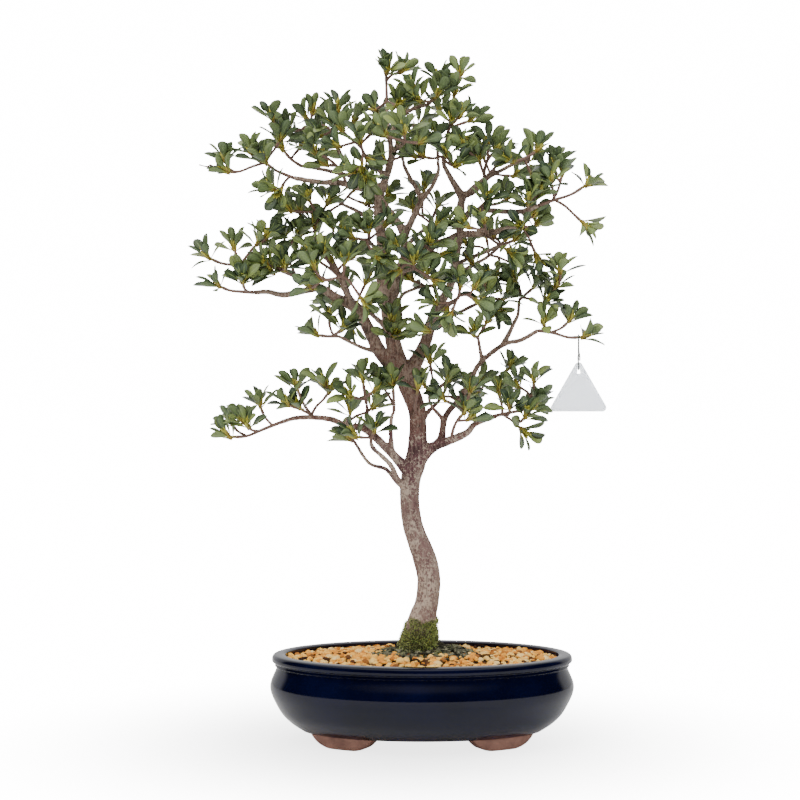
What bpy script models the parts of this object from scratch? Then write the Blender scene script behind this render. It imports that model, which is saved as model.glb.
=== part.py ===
"""Satsuki azalea bonsai, informal upright, in an oval glazed pot on four unglazed feet.

The tree is modelled as it grew. One piece of wood holds the roots, the trunk and the limbs, and each leafy
shoot is a piece of its own: a fine stem, its twigs, and a whorl of leaves round the bud at every tip.
The pot holds the soil, and two plastic screens lie over its drainage holes. A blank tag hangs from a twig.
Sizes are in millimetres until a mesh is made, and the finished scene is in metres, +Z up, front towards -Y.
"""

import math
import random

import bpy
import numpy as np
from mathutils.bvhtree import BVHTree

MM = 0.001
UP = np.array([0.0, 0.0, 1.0])

# The pot stands off the tree's middle, so that the whole plant is centred over the origin.
POT_CENTRE = np.array([22.0, 0.0])
RIM_HALF_LENGTH = 150.0
RIM_HALF_DEPTH = 109.0
DEPTH_CLOSING = 1.2
FOOT_HEIGHT = 12.5
FLOOR_TOP = 20.0
POT_SIDES = 30
SEAT_GAP = 0.3

# Distance inwards from the rim's outer edge, and height, up the outside, over the lip and down the inside.
POT_PROFILE = [
    (30.0, FOOT_HEIGHT),
    (19.0, 20.0),
    (10.0, 29.0),
    (3.0, 41.0),
    (-1.2, 51.5),
    (-1.0, 60.5),
    (4.7, 74.5),
    (3.0, 76.5),
    (3.6, 79.0),
    (0.4, 80.6),
    (0.0, 86.6),
    (1.2, 88.0),
    (11.8, 88.0),
    (13.5, 86.6),
    (12.5, 72.0),
    (8.5, 60.0),
    (9.5, 44.0),
    (20.0, 27.0),
    (36.0, FLOOR_TOP),
]

# The soil's side from its foot up, a little inside the pot's wall.
SOIL_SIDE = [
    (36.3, FLOOR_TOP + SEAT_GAP),
    (20.4, 27.3),
    (9.9, 44.0),
    (8.9, 60.0),
    (12.9, 72.0),
    (13.5, 80.5),
]

# Where the foot's stations are, in degrees round the oval, and how low it reaches at each.
FOOT_SHAPE = [(19.0, 12.0), (28.0, 5.0), (37.0, 0.0), (55.0, 0.0), (61.0, 3.0), (66.0, 12.0)]
FOOT_TURNS = [(1.0, 1.0), (-1.0, 1.0), (-1.0, -1.0), (1.0, -1.0)]
DRAIN_AT_X = 46.0
DRAIN_RADIUS = 10.0
SCREEN_SIDE = 30.0
SCREEN_THICKNESS = 1.0
SCREEN_HOLE = 5.0

SOIL_MOUND_HEIGHT = 91.5
SOIL_RINGS = 5
SOIL_GRAIN = 2.2
ROOT_TOP = 87.0

# The trunk's line as (x, depth, height, radius), from the root ball up to where the two leaders part.
ROOT_RADIUS = 19.5
ROOT_BALL_FOOT = 52.0
TRUNK = [
    (16.0, 0.0, ROOT_BALL_FOOT, ROOT_RADIUS - 2.0),
    (16.0, 0.0, ROOT_TOP, ROOT_RADIUS),
    (19.0, 0.0, 101.0, 17.5),
    (22.7, 0.0, 123.5, 13.3),
    (27.2, 1.0, 140.0, 11.3),
    (28.9, 2.0, 160.0, 11.3),
    (26.5, 3.0, 175.5, 11.4),
    (21.4, 4.0, 191.0, 11.0),
    (17.5, 5.0, 201.0, 10.3),
    (12.3, 5.0, 218.0, 9.6),
    (9.5, 5.0, 243.0, 9.4),
    (11.0, 3.0, 263.0, 9.7),
    (14.5, 1.0, 275.0, 10.4),
    (17.0, 0.0, 288.0, 10.0),
    (17.6, -2.0, 301.0, 9.0),
    (18.0, -2.0, 320.0, 8.1),
    (16.4, -2.0, 333.0, 8.5),
    (12.0, -1.0, 345.5, 9.0),
    (6.5, 0.0, 358.0, 9.0),
    (1.0, 0.0, 374.0, 8.6),
    (-5.0, 0.0, 391.0, 7.6),
    (-9.0, 0.0, 411.0, 7.2),
    (-11.5, 0.0, 429.0, 7.2),
    (-12.0, 0.0, 444.0, 7.6),
    (-11.5, 0.0, 449.5, 5.0),
]

# Each limb: its name, what it grows from, its radius where it starts and where it ends, and its route as
# (x, depth, height). Depth is positive away from the front. Routes read as seen from the front.
LIMBS = [
    ("leader", "trunk", 7.2, 1.5, [
        (-12.0, 0.0, 441.0), (-18.0, -3.0, 474.8), (-17.5, 0.0, 493.0), (-21.5, 4.0, 529.4),
        (-20.0, 4.0, 545.4), (-10.0, 0.0, 577.0), (-9.0, -2.0, 592.7), (-12.0, -2.0, 612.7),
        (-13.0, 0.0, 635.0),
    ]),
    ("low_left", "trunk", 4.8, 1.7, [
        (11.0, 0.0, 266.0), (-8.5, -10.0, 288.3), (-34.6, -20.0, 312.3), (-51.4, -22.0, 314.3),
        (-69.2, -20.0, 322.2), (-100.3, -12.0, 323.6), (-120.5, -8.0, 318.1),
    ]),
    ("low_left_riser", "low_left", 2.0, 1.4, [
        (-34.6, -20.0, 312.3), (-32.1, -22.0, 324.2), (-33.1, -24.0, 337.1),
    ]),
    ("low_left_under", "trunk", 3.2, 1.5, [
        (9.0, 0.0, 251.0), (-2.0, -8.0, 261.3), (-9.9, -20.0, 277.7), (-26.5, -34.0, 293.9),
        (-28.4, -38.0, 302.8),
    ]),
    ("low_left_back", "trunk", 2.6, 1.4, [
        (9.0, 2.0, 252.9), (-2.0, 8.0, 257.6), (-14.1, 18.0, 271.3), (-31.5, 28.0, 277.0),
        (-46.9, 36.0, 299.2),
    ]),
    ("low_inner", "low_left", 2.2, 1.5, [
        (-8.5, -10.0, 288.3), (-8.9, -18.0, 319.2), (-5.9, -20.0, 330.1),
    ]),
    ("low_right", "trunk", 6.2, 2.0, [
        (16.0, 0.0, 278.0), (25.0, -2.0, 288.1), (35.9, -6.0, 295.6), (55.6, -14.0, 303.3),
        (67.4, -16.0, 309.3), (74.4, -16.0, 317.2), (96.4, -12.0, 325.6),
    ]),
    ("low_right_riser", "low_right", 3.4, 1.8, [
        (35.9, -6.0, 295.6), (41.4, -4.0, 303.1), (45.1, 4.0, 324.0), (61.5, 16.0, 344.0),
        (71.7, 18.0, 361.2), (80.6, 14.0, 378.3), (103.5, 0.0, 396.5), (119.6, -6.0, 400.3),
        (137.3, -10.0, 410.1),
    ]),
    ("low_right_twig", "low_right_riser", 1.8, 1.2, [
        (44.1, 3.0, 321.0), (30.8, -12.0, 336.0), (28.7, -16.0, 347.9),
    ]),
    ("low_back", "trunk", 3.4, 1.6, [
        (18.0, 0.0, 305.0), (21.3, 24.0, 316.7), (28.8, 52.0, 328.7), (39.6, 78.0, 338.9),
    ]),
    ("left", "trunk", 7.0, 1.9, [
        (2.0, 0.0, 370.0), (-18.9, -8.0, 387.8), (-35.7, -14.0, 419.9), (-45.6, -16.0, 432.2),
        (-55.5, -16.0, 439.1), (-66.5, -14.0, 444.2), (-74.5, -12.0, 450.8), (-85.5, -10.0, 451.9),
        (-114.6, -6.0, 445.7), (-130.7, -4.0, 448.8), (-145.7, -4.0, 448.3),
    ]),
    ("left_upper", "left", 2.6, 1.6, [
        (-66.5, -14.0, 444.2), (-100.4, 8.0, 463.0), (-117.9, 14.0, 471.0), (-135.0, 14.0, 477.0),
        (-150.8, 10.0, 475.7),
    ]),
    ("left_inner", "left", 3.2, 1.7, [
        (-47.6, -16.0, 433.7), (-60.3, 8.0, 464.5), (-71.5, 14.0, 486.1), (-82.7, 16.0, 499.4),
    ]),
    ("left_front", "left", 2.8, 1.5, [
        (-41.7, -15.0, 427.3), (-47.1, -34.0, 436.2), (-50.5, -54.0, 446.8), (-54.8, -70.0, 457.4),
    ]),
    ("left_twig", "left", 2.0, 1.4, [
        (-18.9, -8.0, 387.8), (-37.6, -18.0, 393.0), (-61.1, -26.0, 404.1),
    ]),
    ("left_rear", "trunk", 3.6, 1.7, [
        (-7.0, 0.0, 401.0), (-14.2, 26.0, 414.0), (-26.8, 54.0, 427.5), (-41.7, 80.0, 439.1),
    ]),
    ("right_limb", "trunk", 6.6, 2.6, [
        (-12.0, 0.0, 442.0), (4.0, -6.0, 478.6), (5.5, -6.0, 492.5), (5.0, -4.0, 504.6),
        (22.0, -4.0, 541.6),
    ]),
    ("crossing", "right_limb", 3.4, 3.0, [
        (5.0, -4.0, 504.6), (-1.0, -6.0, 516.4), (-9.0, -6.0, 527.4), (-17.0, -4.0, 537.6),
        (-21.0, 2.0, 545.2),
    ]),
    ("upper_left", "leader", 4.0, 2.0, [
        (-20.0, 4.0, 548.4), (-30.0, -2.0, 550.3), (-60.7, -10.0, 557.3), (-77.5, -12.0, 557.1),
        (-105.3, -12.0, 561.6),
    ]),
    ("upper_left_rear", "leader", 2.8, 1.5, [
        (-19.0, 4.0, 549.4), (-30.3, 18.0, 559.1), (-45.7, 30.0, 567.6), (-63.3, 38.0, 572.7),
        (-81.7, 40.0, 577.0), (-101.0, 38.0, 579.8),
    ]),
    ("fan_left", "leader", 3.2, 1.6, [
        (-18.0, 4.0, 551.5), (-29.0, -2.0, 557.8), (-41.9, -4.0, 565.5), (-53.9, -4.0, 577.5),
        (-61.9, -2.0, 591.7), (-66.0, 0.0, 604.0),
    ]),
    ("fan_front", "leader", 2.6, 1.5, [
        (-14.0, 2.0, 564.2), (-34.9, -56.0, 579.6),
    ]),
    ("crown_front", "leader", 2.6, 1.5, [
        (-10.0, 0.0, 578.0), (-5.9, -24.0, 585.8), (3.9, -62.0, 589.4),
    ]),
    ("crown_rear", "leader", 2.8, 1.5, [
        (-11.0, 0.0, 575.0), (2.1, 70.0, 620.2),
    ]),
    ("apex_right", "leader", 2.6, 1.5, [
        (-10.5, -2.0, 604.7), (-1.0, -4.0, 621.4), (13.0, -4.0, 631.4), (27.9, -4.0, 635.9),
    ]),
    ("inner_left_rise", "right_limb", 2.2, 1.4, [
        (22.0, -4.0, 541.6), (6.0, 8.0, 572.0), (3.0, 10.0, 582.3),
    ]),
    ("inner_right_rise", "right_limb", 2.2, 1.4, [
        (22.0, -4.0, 541.6), (30.9, -8.0, 552.1), (37.8, -10.0, 566.8), (37.8, -10.0, 579.7),
    ]),
    ("right_main", "trunk", 6.6, 3.2, [
        (5.0, 0.0, 360.0), (21.1, 6.0, 389.2), (27.1, 10.0, 403.3), (31.2, 12.0, 419.5),
        (37.2, 12.0, 434.6), (46.2, 10.0, 447.6), (52.2, 8.0, 462.5), (60.1, 2.0, 511.2),
        (61.6, 2.0, 545.2),
    ]),
    ("right_high_left", "right_main", 3.0, 1.6, [
        (61.6, 2.0, 545.2), (48.2, 6.0, 568.7), (43.6, 6.0, 581.8), (48.1, 2.0, 608.3),
    ]),
    ("right_high", "right_main", 2.8, 1.6, [
        (61.6, 2.0, 545.2), (75.9, -2.0, 550.3), (87.2, -6.0, 562.3), (98.6, -8.0, 568.5),
        (122.5, -8.0, 581.0),
    ]),
    ("right_high_rear", "right_main", 2.8, 1.5, [
        (60.1, 2.0, 535.2), (69.0, 26.0, 551.9), (91.3, 70.0, 574.5),
    ]),
    ("right_long", "right_limb", 5.0, 2.3, [
        (4.0, -6.0, 477.6), (29.7, -18.0, 492.5), (46.5, -20.0, 498.3), (60.4, -18.0, 504.9),
        (88.3, -14.0, 506.7), (117.3, -11.0, 514.0),
    ]),
    ("right_arm", "right_main", 3.2, 1.9, [
        (59.6, 2.0, 513.2), (65.7, -8.0, 523.2), (74.4, -16.0, 529.4), (109.9, -18.0, 527.2),
        (125.8, -18.0, 528.7), (136.7, -18.0, 533.6),
    ]),
    ("right_drop", "right_main", 2.2, 1.4, [
        (54.2, 6.0, 473.4), (63.5, 14.0, 481.1), (89.1, 24.0, 491.9), (100.4, 26.0, 497.7),
    ]),
    ("right_rear", "right_main", 3.2, 1.6, [
        (51.2, 8.0, 459.5), (63.1, 34.0, 471.4), (89.9, 84.0, 489.4),
    ]),
    ("right_front", "right_main", 3.0, 1.6, [
        (33.2, 12.0, 425.5), (56.2, -58.0, 439.8),
    ]),
    ("right_whorl", "right_main", 2.4, 1.6, [
        (31.2, 12.0, 419.5), (45.5, 20.0, 423.9), (57.7, 22.0, 428.5), (80.9, 20.0, 440.1),
    ]),
    ("right_low_rise", "low_right_riser", 2.2, 1.4, [
        (103.5, 0.0, 396.5), (114.6, 10.0, 418.4), (118.8, 12.0, 427.6), (119.9, 14.0, 441.8),
    ]),
    ("right_low_inner", "low_right_riser", 1.8, 1.3, [
        (82.6, 13.0, 380.3), (77.7, -8.0, 402.7),
    ]),
    ("centre_shoot", "trunk", 2.4, 1.5, [
        (-6.0, 0.0, 394.0), (-1.0, -14.0, 407.5), (0.5, -18.0, 424.2), (1.0, -18.0, 444.0),
        (21.7, -24.0, 453.5),
    ]),
    ("centre_front", "right_limb", 2.6, 1.5, [
        (-3.0, -4.0, 464.7), (2.0, -28.0, 467.1), (12.5, -66.0, 467.3),
    ]),
    ("leader_front", "leader", 2.6, 1.5, [
        (-18.0, -2.0, 484.8), (-29.9, -64.0, 494.5),
    ]),
    ("leader_rear", "leader", 2.8, 1.5, [
        (-20.0, 3.0, 509.3), (-30.5, 30.0, 523.9), (-44.3, 56.0, 535.7), (-58.4, 78.0, 544.2),
    ]),
    ("limb_rear", "right_limb", 2.8, 1.5, [
        (5.5, -6.0, 490.5), (13.2, 24.0, 504.1), (29.2, 76.0, 522.1),
    ]),
]

# Each leafy shoot: its name, the limb it grows from, and the buds that its twigs end in, the stem's own first.
SHOOTS = [
    ("apex_shoot", "leader", [
        (-14.0, 0.0, 668.0), (-3.0, -20.0, 631.8), (-24.2, 18.0, 633.8),
    ]),
    ("apex_right_shoot", "apex_right", [
        (34.9, -6.0, 643.0), (19.7, -24.0, 636.1), (41.4, 16.0, 651.7),
    ]),
    ("top_right_shoot", "right_high_left", [
        (54.1, 2.0, 647.3), (51.3, -26.0, 615.1), (69.3, 8.0, 621.2), (40.5, 24.0, 632.7),
    ]),
    ("crown_rear_shoot", "crown_rear", [
        (4.2, 84.0, 642.1), (-14.5, 66.0, 631.0), (20.8, 78.0, 628.6),
    ]),
    ("crown_front_shoot", "crown_front", [
        (3.8, -78.0, 597.7), (-13.5, -60.0, 596.4), (19.3, -64.0, 589.1),
    ]),
    ("fan_left_shoot", "fan_left", [
        (-63.0, 0.0, 630.0), (-68.2, -22.0, 613.7), (-47.4, 14.0, 621.1), (-94.2, 4.0, 623.6),
        (-110.3, 22.0, 614.2),
    ]),
    ("fan_front_shoot", "fan_front", [
        (-38.6, -66.0, 589.8), (-55.5, -50.0, 602.7), (-27.3, -48.0, 601.1), (-36.5, -74.0, 566.6),
    ]),
    ("upper_left_end_shoot", "upper_left", [
        (-132.8, -16.0, 576.0), (-144.3, 4.0, 582.5), (-171.3, -8.0, 568.0), (-117.3, -26.0, 549.0),
        (-119.7, -4.0, 600.4), (-127.2, -12.0, 620.2),
    ]),
    ("upper_left_mid_shoot", "upper_left", [
        (-83.4, -34.0, 584.4), (-72.2, -20.0, 573.5),
    ]),
    ("upper_left_rear_shoot", "upper_left_rear", [
        (-119.8, 44.0, 596.9), (-103.1, 58.0, 600.9), (-84.9, 66.0, 597.8),
    ]),
    ("inner_left_shoot", "inner_left_rise", [
        (-2.0, 12.0, 601.7), (15.2, 26.0, 598.6), (6.9, -16.0, 586.9),
    ]),
    ("inner_right_shoot", "inner_right_rise", [
        (36.7, -16.0, 599.7), (53.9, -36.0, 570.4), (23.6, -30.0, 580.1),
    ]),
    ("right_high_mid_shoot", "right_high", [
        (94.8, -4.0, 589.5), (78.1, -22.0, 578.1), (88.9, 18.0, 599.5),
    ]),
    ("right_high_end_shoot", "right_high", [
        (135.9, -2.0, 589.7), (110.4, -26.0, 575.7), (130.4, -22.0, 563.3),
    ]),
    ("right_high_rear_shoot", "right_high_rear", [
        (106.9, 88.0, 595.6), (86.1, 70.0, 593.2), (118.7, 76.0, 574.2),
    ]),
    ("right_arm_end_shoot", "right_arm", [
        (183.8, -22.0, 553.4), (180.4, -26.0, 515.5), (161.1, -10.0, 564.8), (148.2, -34.0, 554.0),
        (148.0, 12.0, 571.5),
    ]),
    ("right_arm_mid_shoot", "right_arm", [
        (84.4, -34.0, 535.4), (104.7, -6.0, 540.4),
    ]),
    ("right_long_end_shoot", "right_long", [
        (136.4, 6.0, 515.6), (125.5, -36.0, 534.2), (119.8, -34.0, 509.8), (135.0, -14.0, 484.9),
    ]),
    ("right_long_mid_shoot", "right_long", [
        (105.1, -32.0, 488.4), (82.0, -44.0, 515.7),
    ]),
    ("right_rear_shoot", "right_rear", [
        (110.1, 90.0, 508.8), (89.7, 80.0, 512.1), (122.3, 84.0, 485.3), (101.6, 68.0, 473.7),
    ]),
    ("right_drop_shoot", "right_drop", [
        (116.1, 34.0, 503.9), (96.0, 40.0, 508.5),
    ]),
    ("limb_rear_shoot", "limb_rear", [
        (38.7, 84.0, 542.8), (14.6, 74.0, 537.6), (48.2, 88.0, 523.3), (24.8, 64.0, 558.3),
    ]),
    ("limb_front_shoot", "right_limb", [
        (18.5, -46.0, 487.3), (35.3, -38.0, 511.4), (28.9, -66.0, 492.4),
    ]),
    ("centre_front_shoot", "centre_front", [
        (13.4, -82.0, 472.9), (-1.9, -70.0, 485.3), (32.6, -74.0, 455.2),
    ]),
    ("centre_shoot_shoot", "centre_shoot", [
        (33.4, -30.0, 454.1), (12.0, -6.0, 460.6),
    ]),
    ("leader_front_shoot", "leader_front", [
        (-29.7, -78.0, 502.9), (-14.5, -64.0, 509.0), (-44.2, -74.0, 496.5), (-22.9, -84.0, 478.5),
    ]),
    ("leader_rear_shoot", "leader_rear", [
        (-69.2, 90.0, 553.9), (-47.8, 72.0, 559.2), (-77.4, 84.0, 535.4), (-35.2, 66.0, 544.0),
    ]),
    ("left_inner_end_shoot", "left_inner", [
        (-86.7, 14.0, 515.3), (-60.7, -8.0, 507.3), (-73.4, 10.0, 538.1), (-90.7, -6.0, 541.3),
        (-109.6, 10.0, 531.0),
    ]),
    ("left_inner_mid_shoot", "left_inner", [
        (-88.0, -20.0, 487.4), (-48.6, 24.0, 484.8),
    ]),
    ("left_front_shoot", "left_front", [
        (-52.6, -82.0, 471.9), (-75.9, -72.0, 455.4), (-36.4, -78.0, 437.7), (-67.7, -62.0, 474.4),
    ]),
    ("left_upper_mid_shoot", "left_upper", [
        (-114.4, -10.0, 471.3), (-117.5, 24.0, 506.1), (-101.8, 34.0, 486.6),
    ]),
    ("left_upper_end_shoot", "left_upper", [
        (-191.2, 2.0, 483.2), (-167.8, 20.0, 493.6), (-143.3, 4.0, 497.3), (-154.7, -16.0, 463.9),
    ]),
    ("left_end_shoot", "left", [
        (-180.2, -8.0, 454.5), (-154.5, -30.0, 456.1),
    ]),
    ("left_twig_shoot", "left_twig", [
        (-81.8, -26.0, 405.1), (-70.3, -18.0, 422.2), (-56.7, -42.0, 410.4),
    ]),
    ("left_rear_shoot", "left_rear", [
        (-56.6, 88.0, 456.2), (-35.5, 80.0, 463.1), (-71.0, 82.0, 441.3), (-50.2, 86.0, 422.6),
    ]),
    ("low_left_end_shoot", "low_left", [
        (-168.7, -14.0, 304.3), (-150.0, -24.0, 314.4), (-168.4, 4.0, 316.9), (-139.7, -4.0, 335.0),
    ]),
    ("low_left_mid_shoot", "low_left", [
        (-102.6, -8.0, 352.9), (-98.4, -30.0, 333.1), (-70.2, -20.0, 348.9),
    ]),
    ("low_left_riser_shoot", "low_left_riser", [
        (-36.6, -22.0, 359.8), (-48.0, -36.0, 343.9), (-25.5, -38.0, 349.8),
    ]),
    ("low_inner_shoot", "low_inner", [
        (-6.9, -30.0, 354.8), (-18.0, -4.0, 358.0),
    ]),
    ("low_left_under_shoot", "low_left_under", [
        (-25.3, -52.0, 310.9), (-42.0, -44.0, 304.9),
    ]),
    ("low_left_back_shoot", "low_left_back", [
        (-51.0, 38.0, 300.2), (-51.2, 46.0, 327.7), (-28.9, 58.0, 332.7),
    ]),
    ("trunk_front_shoot", "trunk", [
        (17.6, -40.0, 351.8),
    ]),
    ("mid_front_shoot", "trunk", [
        (-7.8, -36.0, 418.5),
    ]),
    ("low_right_twig_shoot", "low_right_twig", [
        (46.4, -24.0, 359.8), (29.8, -14.0, 378.7),
    ]),
    ("low_right_front_shoot", "low_right", [
        (62.6, -40.0, 328.3), (68.8, -32.0, 349.8), (43.0, -44.0, 341.0),
    ]),
    ("low_right_end_shoot", "low_right", [
        (134.6, -6.0, 337.0), (119.6, -22.0, 312.3), (108.2, -30.0, 333.1), (98.6, -8.0, 347.0),
        (133.0, -14.0, 359.9), (122.6, -36.0, 324.3),
    ]),
    ("low_right_riser_shoot", "low_right_riser", [
        (81.0, 24.0, 357.2), (109.3, 22.0, 372.4),
    ]),
    ("low_back_shoot", "low_back", [
        (50.4, 92.0, 357.8), (26.1, 84.0, 355.6), (69.1, 88.0, 345.2),
    ]),
    ("right_low_end_shoot", "low_right_riser", [
        (181.8, -12.0, 403.6), (142.0, -26.0, 415.9), (169.2, 2.0, 420.1),
    ]),
    ("right_low_rise_shoot", "right_low_rise", [
        (134.7, 10.0, 454.6), (143.5, -6.0, 437.7), (155.0, -12.0, 453.3), (116.5, 24.0, 464.6),
    ]),
    ("right_low_inner_shoot", "right_low_inner", [
        (73.1, -22.0, 405.2), (86.5, -10.0, 418.6),
    ]),
    ("right_whorl_shoot", "right_whorl", [
        (86.5, 10.0, 461.6), (103.3, 6.0, 442.3), (83.5, -12.0, 442.3),
    ]),
    ("right_front_shoot", "right_front", [
        (57.9, -66.0, 450.0), (49.0, -72.0, 423.7), (72.6, -60.0, 437.8), (34.8, -62.0, 434.7),
    ]),
]

TRUNK_SIDES = 10
STOUT_LIMB = 3.1
STEM_RADIUS = 1.25
TWIG_RADIUS = 1.0
TIP_RADIUS = 0.85
HUB_RADIUS = 1.5
HUB_LENGTH = 2.2
BUD_LENGTH = 3.4
LEAF_LENGTH = (18.0, 24.0)
LEAF_WIDTH = (7.4, 9.2)
LEAF_THICKNESS = 0.75
LEAF_LIFT = (12.0, 38.0)
LEAF_CLEARANCE = 0.35
TWIG_CLEARANCE = 0.8

# The blank tag is a rounded triangle hung by a cord that goes over a twig and through the tag's hole.
TAG_SHOOT = "right_low_end_shoot"
TAG_AT_X = 177.5
TAG_HANGS_BELOW_TWIG = 25.0
TAG_WIDTH = 55.0
TAG_TALL = 49.0
TAG_THICKNESS = 1.6
TAG_CORNER = 4.0
TAG_HOLE_RADIUS = 2.6
TAG_HOLE_BELOW_TOP = 9.0
CORD_DIAMETER = 1.3

COLOURS = {
    "wood": (0.23, 0.13, 0.09),
    "leaf": (0.05, 0.12, 0.03),
    "pot": (0.01, 0.02, 0.06),
    "soil": (0.36, 0.19, 0.08),
    "screen": (0.02, 0.02, 0.02),
    "tag": (0.75, 0.70, 0.85),
    "cord": (0.02, 0.04, 0.02),
}


def unit(vector):
    return vector / np.linalg.norm(vector)


def mix(start, end, share):
    return start + (end - start) * share


class Skin:
    """Corner points and faces gathered for one mesh."""

    def __init__(self):
        self.points = []
        self.faces = []

    def ring(self, points):
        first = len(self.points)
        self.points.extend(points)
        return list(range(first, first + len(points)))

    def wall(self, lower, upper):
        for i in range(len(lower)):
            after = (i + 1) % len(lower)
            self.faces.append((lower[i], lower[after], upper[after], upper[i]))

    def start_cap(self, ring):
        self.faces.append(tuple(reversed(ring)))

    def end_cap(self, ring):
        self.faces.append(tuple(ring))

    def fan(self, ring, apex):
        tip = self.ring([apex])[0]
        for i in range(len(ring)):
            self.faces.append((ring[i], ring[(i + 1) % len(ring)], tip))

    def tree(self):
        return BVHTree.FromPolygons([tuple(p) for p in self.points], self.faces)


def make_object(name, skin, colour):
    mesh = bpy.data.meshes.new(name)
    mesh.from_pydata([tuple(p * MM) for p in skin.points], [], skin.faces)
    mesh.update()
    body = bpy.data.objects.new(name, mesh)
    bpy.context.scene.collection.objects.link(body)
    if colour:
        body.data.materials.append(material(name, colour))
    return body


def material(name, colour):
    paint = bpy.data.materials.new(name + "_finish")
    paint.use_nodes = True
    paint.node_tree.nodes["Principled BSDF"].inputs["Base Color"].default_value = (*COLOURS[colour], 1.0)
    return paint


def fuse(body, others, operation="UNION"):
    """Join or cut a body with others in one Boolean, apply it, and remove the others."""
    group = bpy.data.collections.new(body.name + "_group")
    bpy.context.scene.collection.children.link(group)
    for other in others:
        bpy.context.scene.collection.objects.unlink(other)
        group.objects.link(other)
        other.hide_render = True
        other.display_type = "WIRE"
    join = body.modifiers.new("join", "BOOLEAN")
    join.operation = operation
    join.solver = "EXACT"
    join.operand_type = "COLLECTION"
    join.collection = group
    bpy.context.view_layer.objects.active = body
    bpy.ops.object.modifier_apply(modifier=join.name)
    for other in others:
        bpy.data.objects.remove(other)
    bpy.data.collections.remove(group)
    return body


def headings(route, last=None):
    """The way that a route runs at each of its points."""
    steps = [unit(b - a) for a, b in zip(route[:-1], route[1:])]
    ways = [steps[0]]
    ways += [unit(a + b) for a, b in zip(steps[:-1], steps[1:])]
    ways.append(steps[-1] if last is None else last)
    return ways


def sideways(way, near):
    """A direction square to the way, as close as can be to the one given."""
    return unit(near - way * np.dot(near, way))


def circle(centre, side, way, radius, sides):
    over = np.cross(way, side)
    turns = [2 * math.pi * k / sides for k in range(sides)]
    return [centre + radius * (math.cos(t) * side + math.sin(t) * over) for t in turns]


def add_tube(skin, route, radii, sides, side, last=None):
    """A tapering tube along a route, without its far cap; gives back its last ring and side direction."""
    rings = []
    for centre, way, radius in zip(route, headings(route, last), radii):
        side = sideways(way, side)
        rings.append(skin.ring(circle(centre, side, way, radius, sides)))
    skin.start_cap(rings[0])
    for lower, upper in zip(rings[:-1], rings[1:]):
        skin.wall(lower, upper)
    return rings, side


class Run:
    """A tapering stretch of wood: the points that it passes through, and its radius at each."""

    def __init__(self, points, radii):
        self.points = [np.array(p) for p in points]
        self.radii = list(radii)

    def places(self):
        """Evenly shared places along the run, with the way it runs and its radius there."""
        for i in range(len(self.points) - 1):
            start, end = self.points[i], self.points[i + 1]
            for share in (0.0, 0.25, 0.5, 0.75):
                radius = mix(self.radii[i], self.radii[i + 1], share)
                yield mix(start, end, share), unit(end - start), radius
        yield self.points[-1], unit(self.points[-1] - self.points[-2]), self.radii[-1]

    def leaving_place(self, target):
        """Where a twig to the target parts most naturally: near it, and leaning onwards."""
        def effort(place):
            step = target - place[0]
            length = np.linalg.norm(step)
            return length * (2.2 - 1.2 * np.dot(step, place[1]) / max(length, 0.01))
        return min(self.places(), key=effort)


class Obstacles:
    """Tapering segments of wood that later twigs keep clear of."""

    def __init__(self):
        self.starts, self.ends, self.radii = [], [], []

    def add(self, run):
        self.starts += run.points[:-1]
        self.ends += run.points[1:]
        self.radii += [max(a, b) for a, b in zip(run.radii[:-1], run.radii[1:])]

    def clearance(self, route, radius, skipped):
        """The least space beside a route, left out of account until the skipped distance from its start."""
        starts, ends = np.array(self.starts), np.array(self.ends)
        steps = ends - starts
        squares = np.maximum((steps * steps).sum(axis=1), 1e-6)
        least = 99.0
        for a, b in zip(route[:-1], route[1:]):
            for share in (0.2, 0.4, 0.6, 0.8, 1.0):
                point = mix(a, b, share)
                if np.linalg.norm(point - route[0]) < skipped:
                    continue
                along = np.clip(((point - starts) * steps).sum(axis=1) / squares, 0.0, 1.0)
                apart = np.linalg.norm(point - starts - steps * along[:, None], axis=1) - np.array(self.radii)
                least = min(least, apart.min() - radius)
        return least


def curve(start, end, start_way, end_way, count):
    """Points on a smooth curve that leaves and arrives along the ways given."""
    reach = np.linalg.norm(end - start)
    points = []
    for k in range(count + 1):
        t = k / count
        points.append(
            (2 * t**3 - 3 * t**2 + 1) * start
            + (t**3 - 2 * t**2 + t) * reach * start_way
            + (3 * t**2 - 2 * t**3) * end
            + (t**3 - t**2) * reach * end_way
        )
    return points


def twig_route(place, way, end, skipped, radius, obstacles):
    """A gently bent route from a place on the wood to a bud, bent further if something is in the way."""
    step = end - place
    length = np.linalg.norm(step)
    straight = step / length
    count = 1 if length < 11.0 else 2 if length < 27.0 else 3
    rise = UP * (0.5 if straight[2] > -0.5 else 0.0)
    across = sideways(straight, np.array([0.3, 1.0, 0.2]))
    over = np.cross(straight, across)
    best = None
    for bend in (0.0, 0.35, 0.7, 1.1):
        for push in (across, -across, over, -over):
            start_way = unit(0.5 * way + straight + bend * push)
            end_way = unit(straight + rise - bend * push)
            route = curve(place, end, start_way, end_way, count)
            space = obstacles.clearance(route, radius, skipped)
            if best is None or space > best[0] + 0.01:
                best = (space, route)
            if space > TWIG_CLEARANCE:
                return route
    return best[1]


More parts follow.
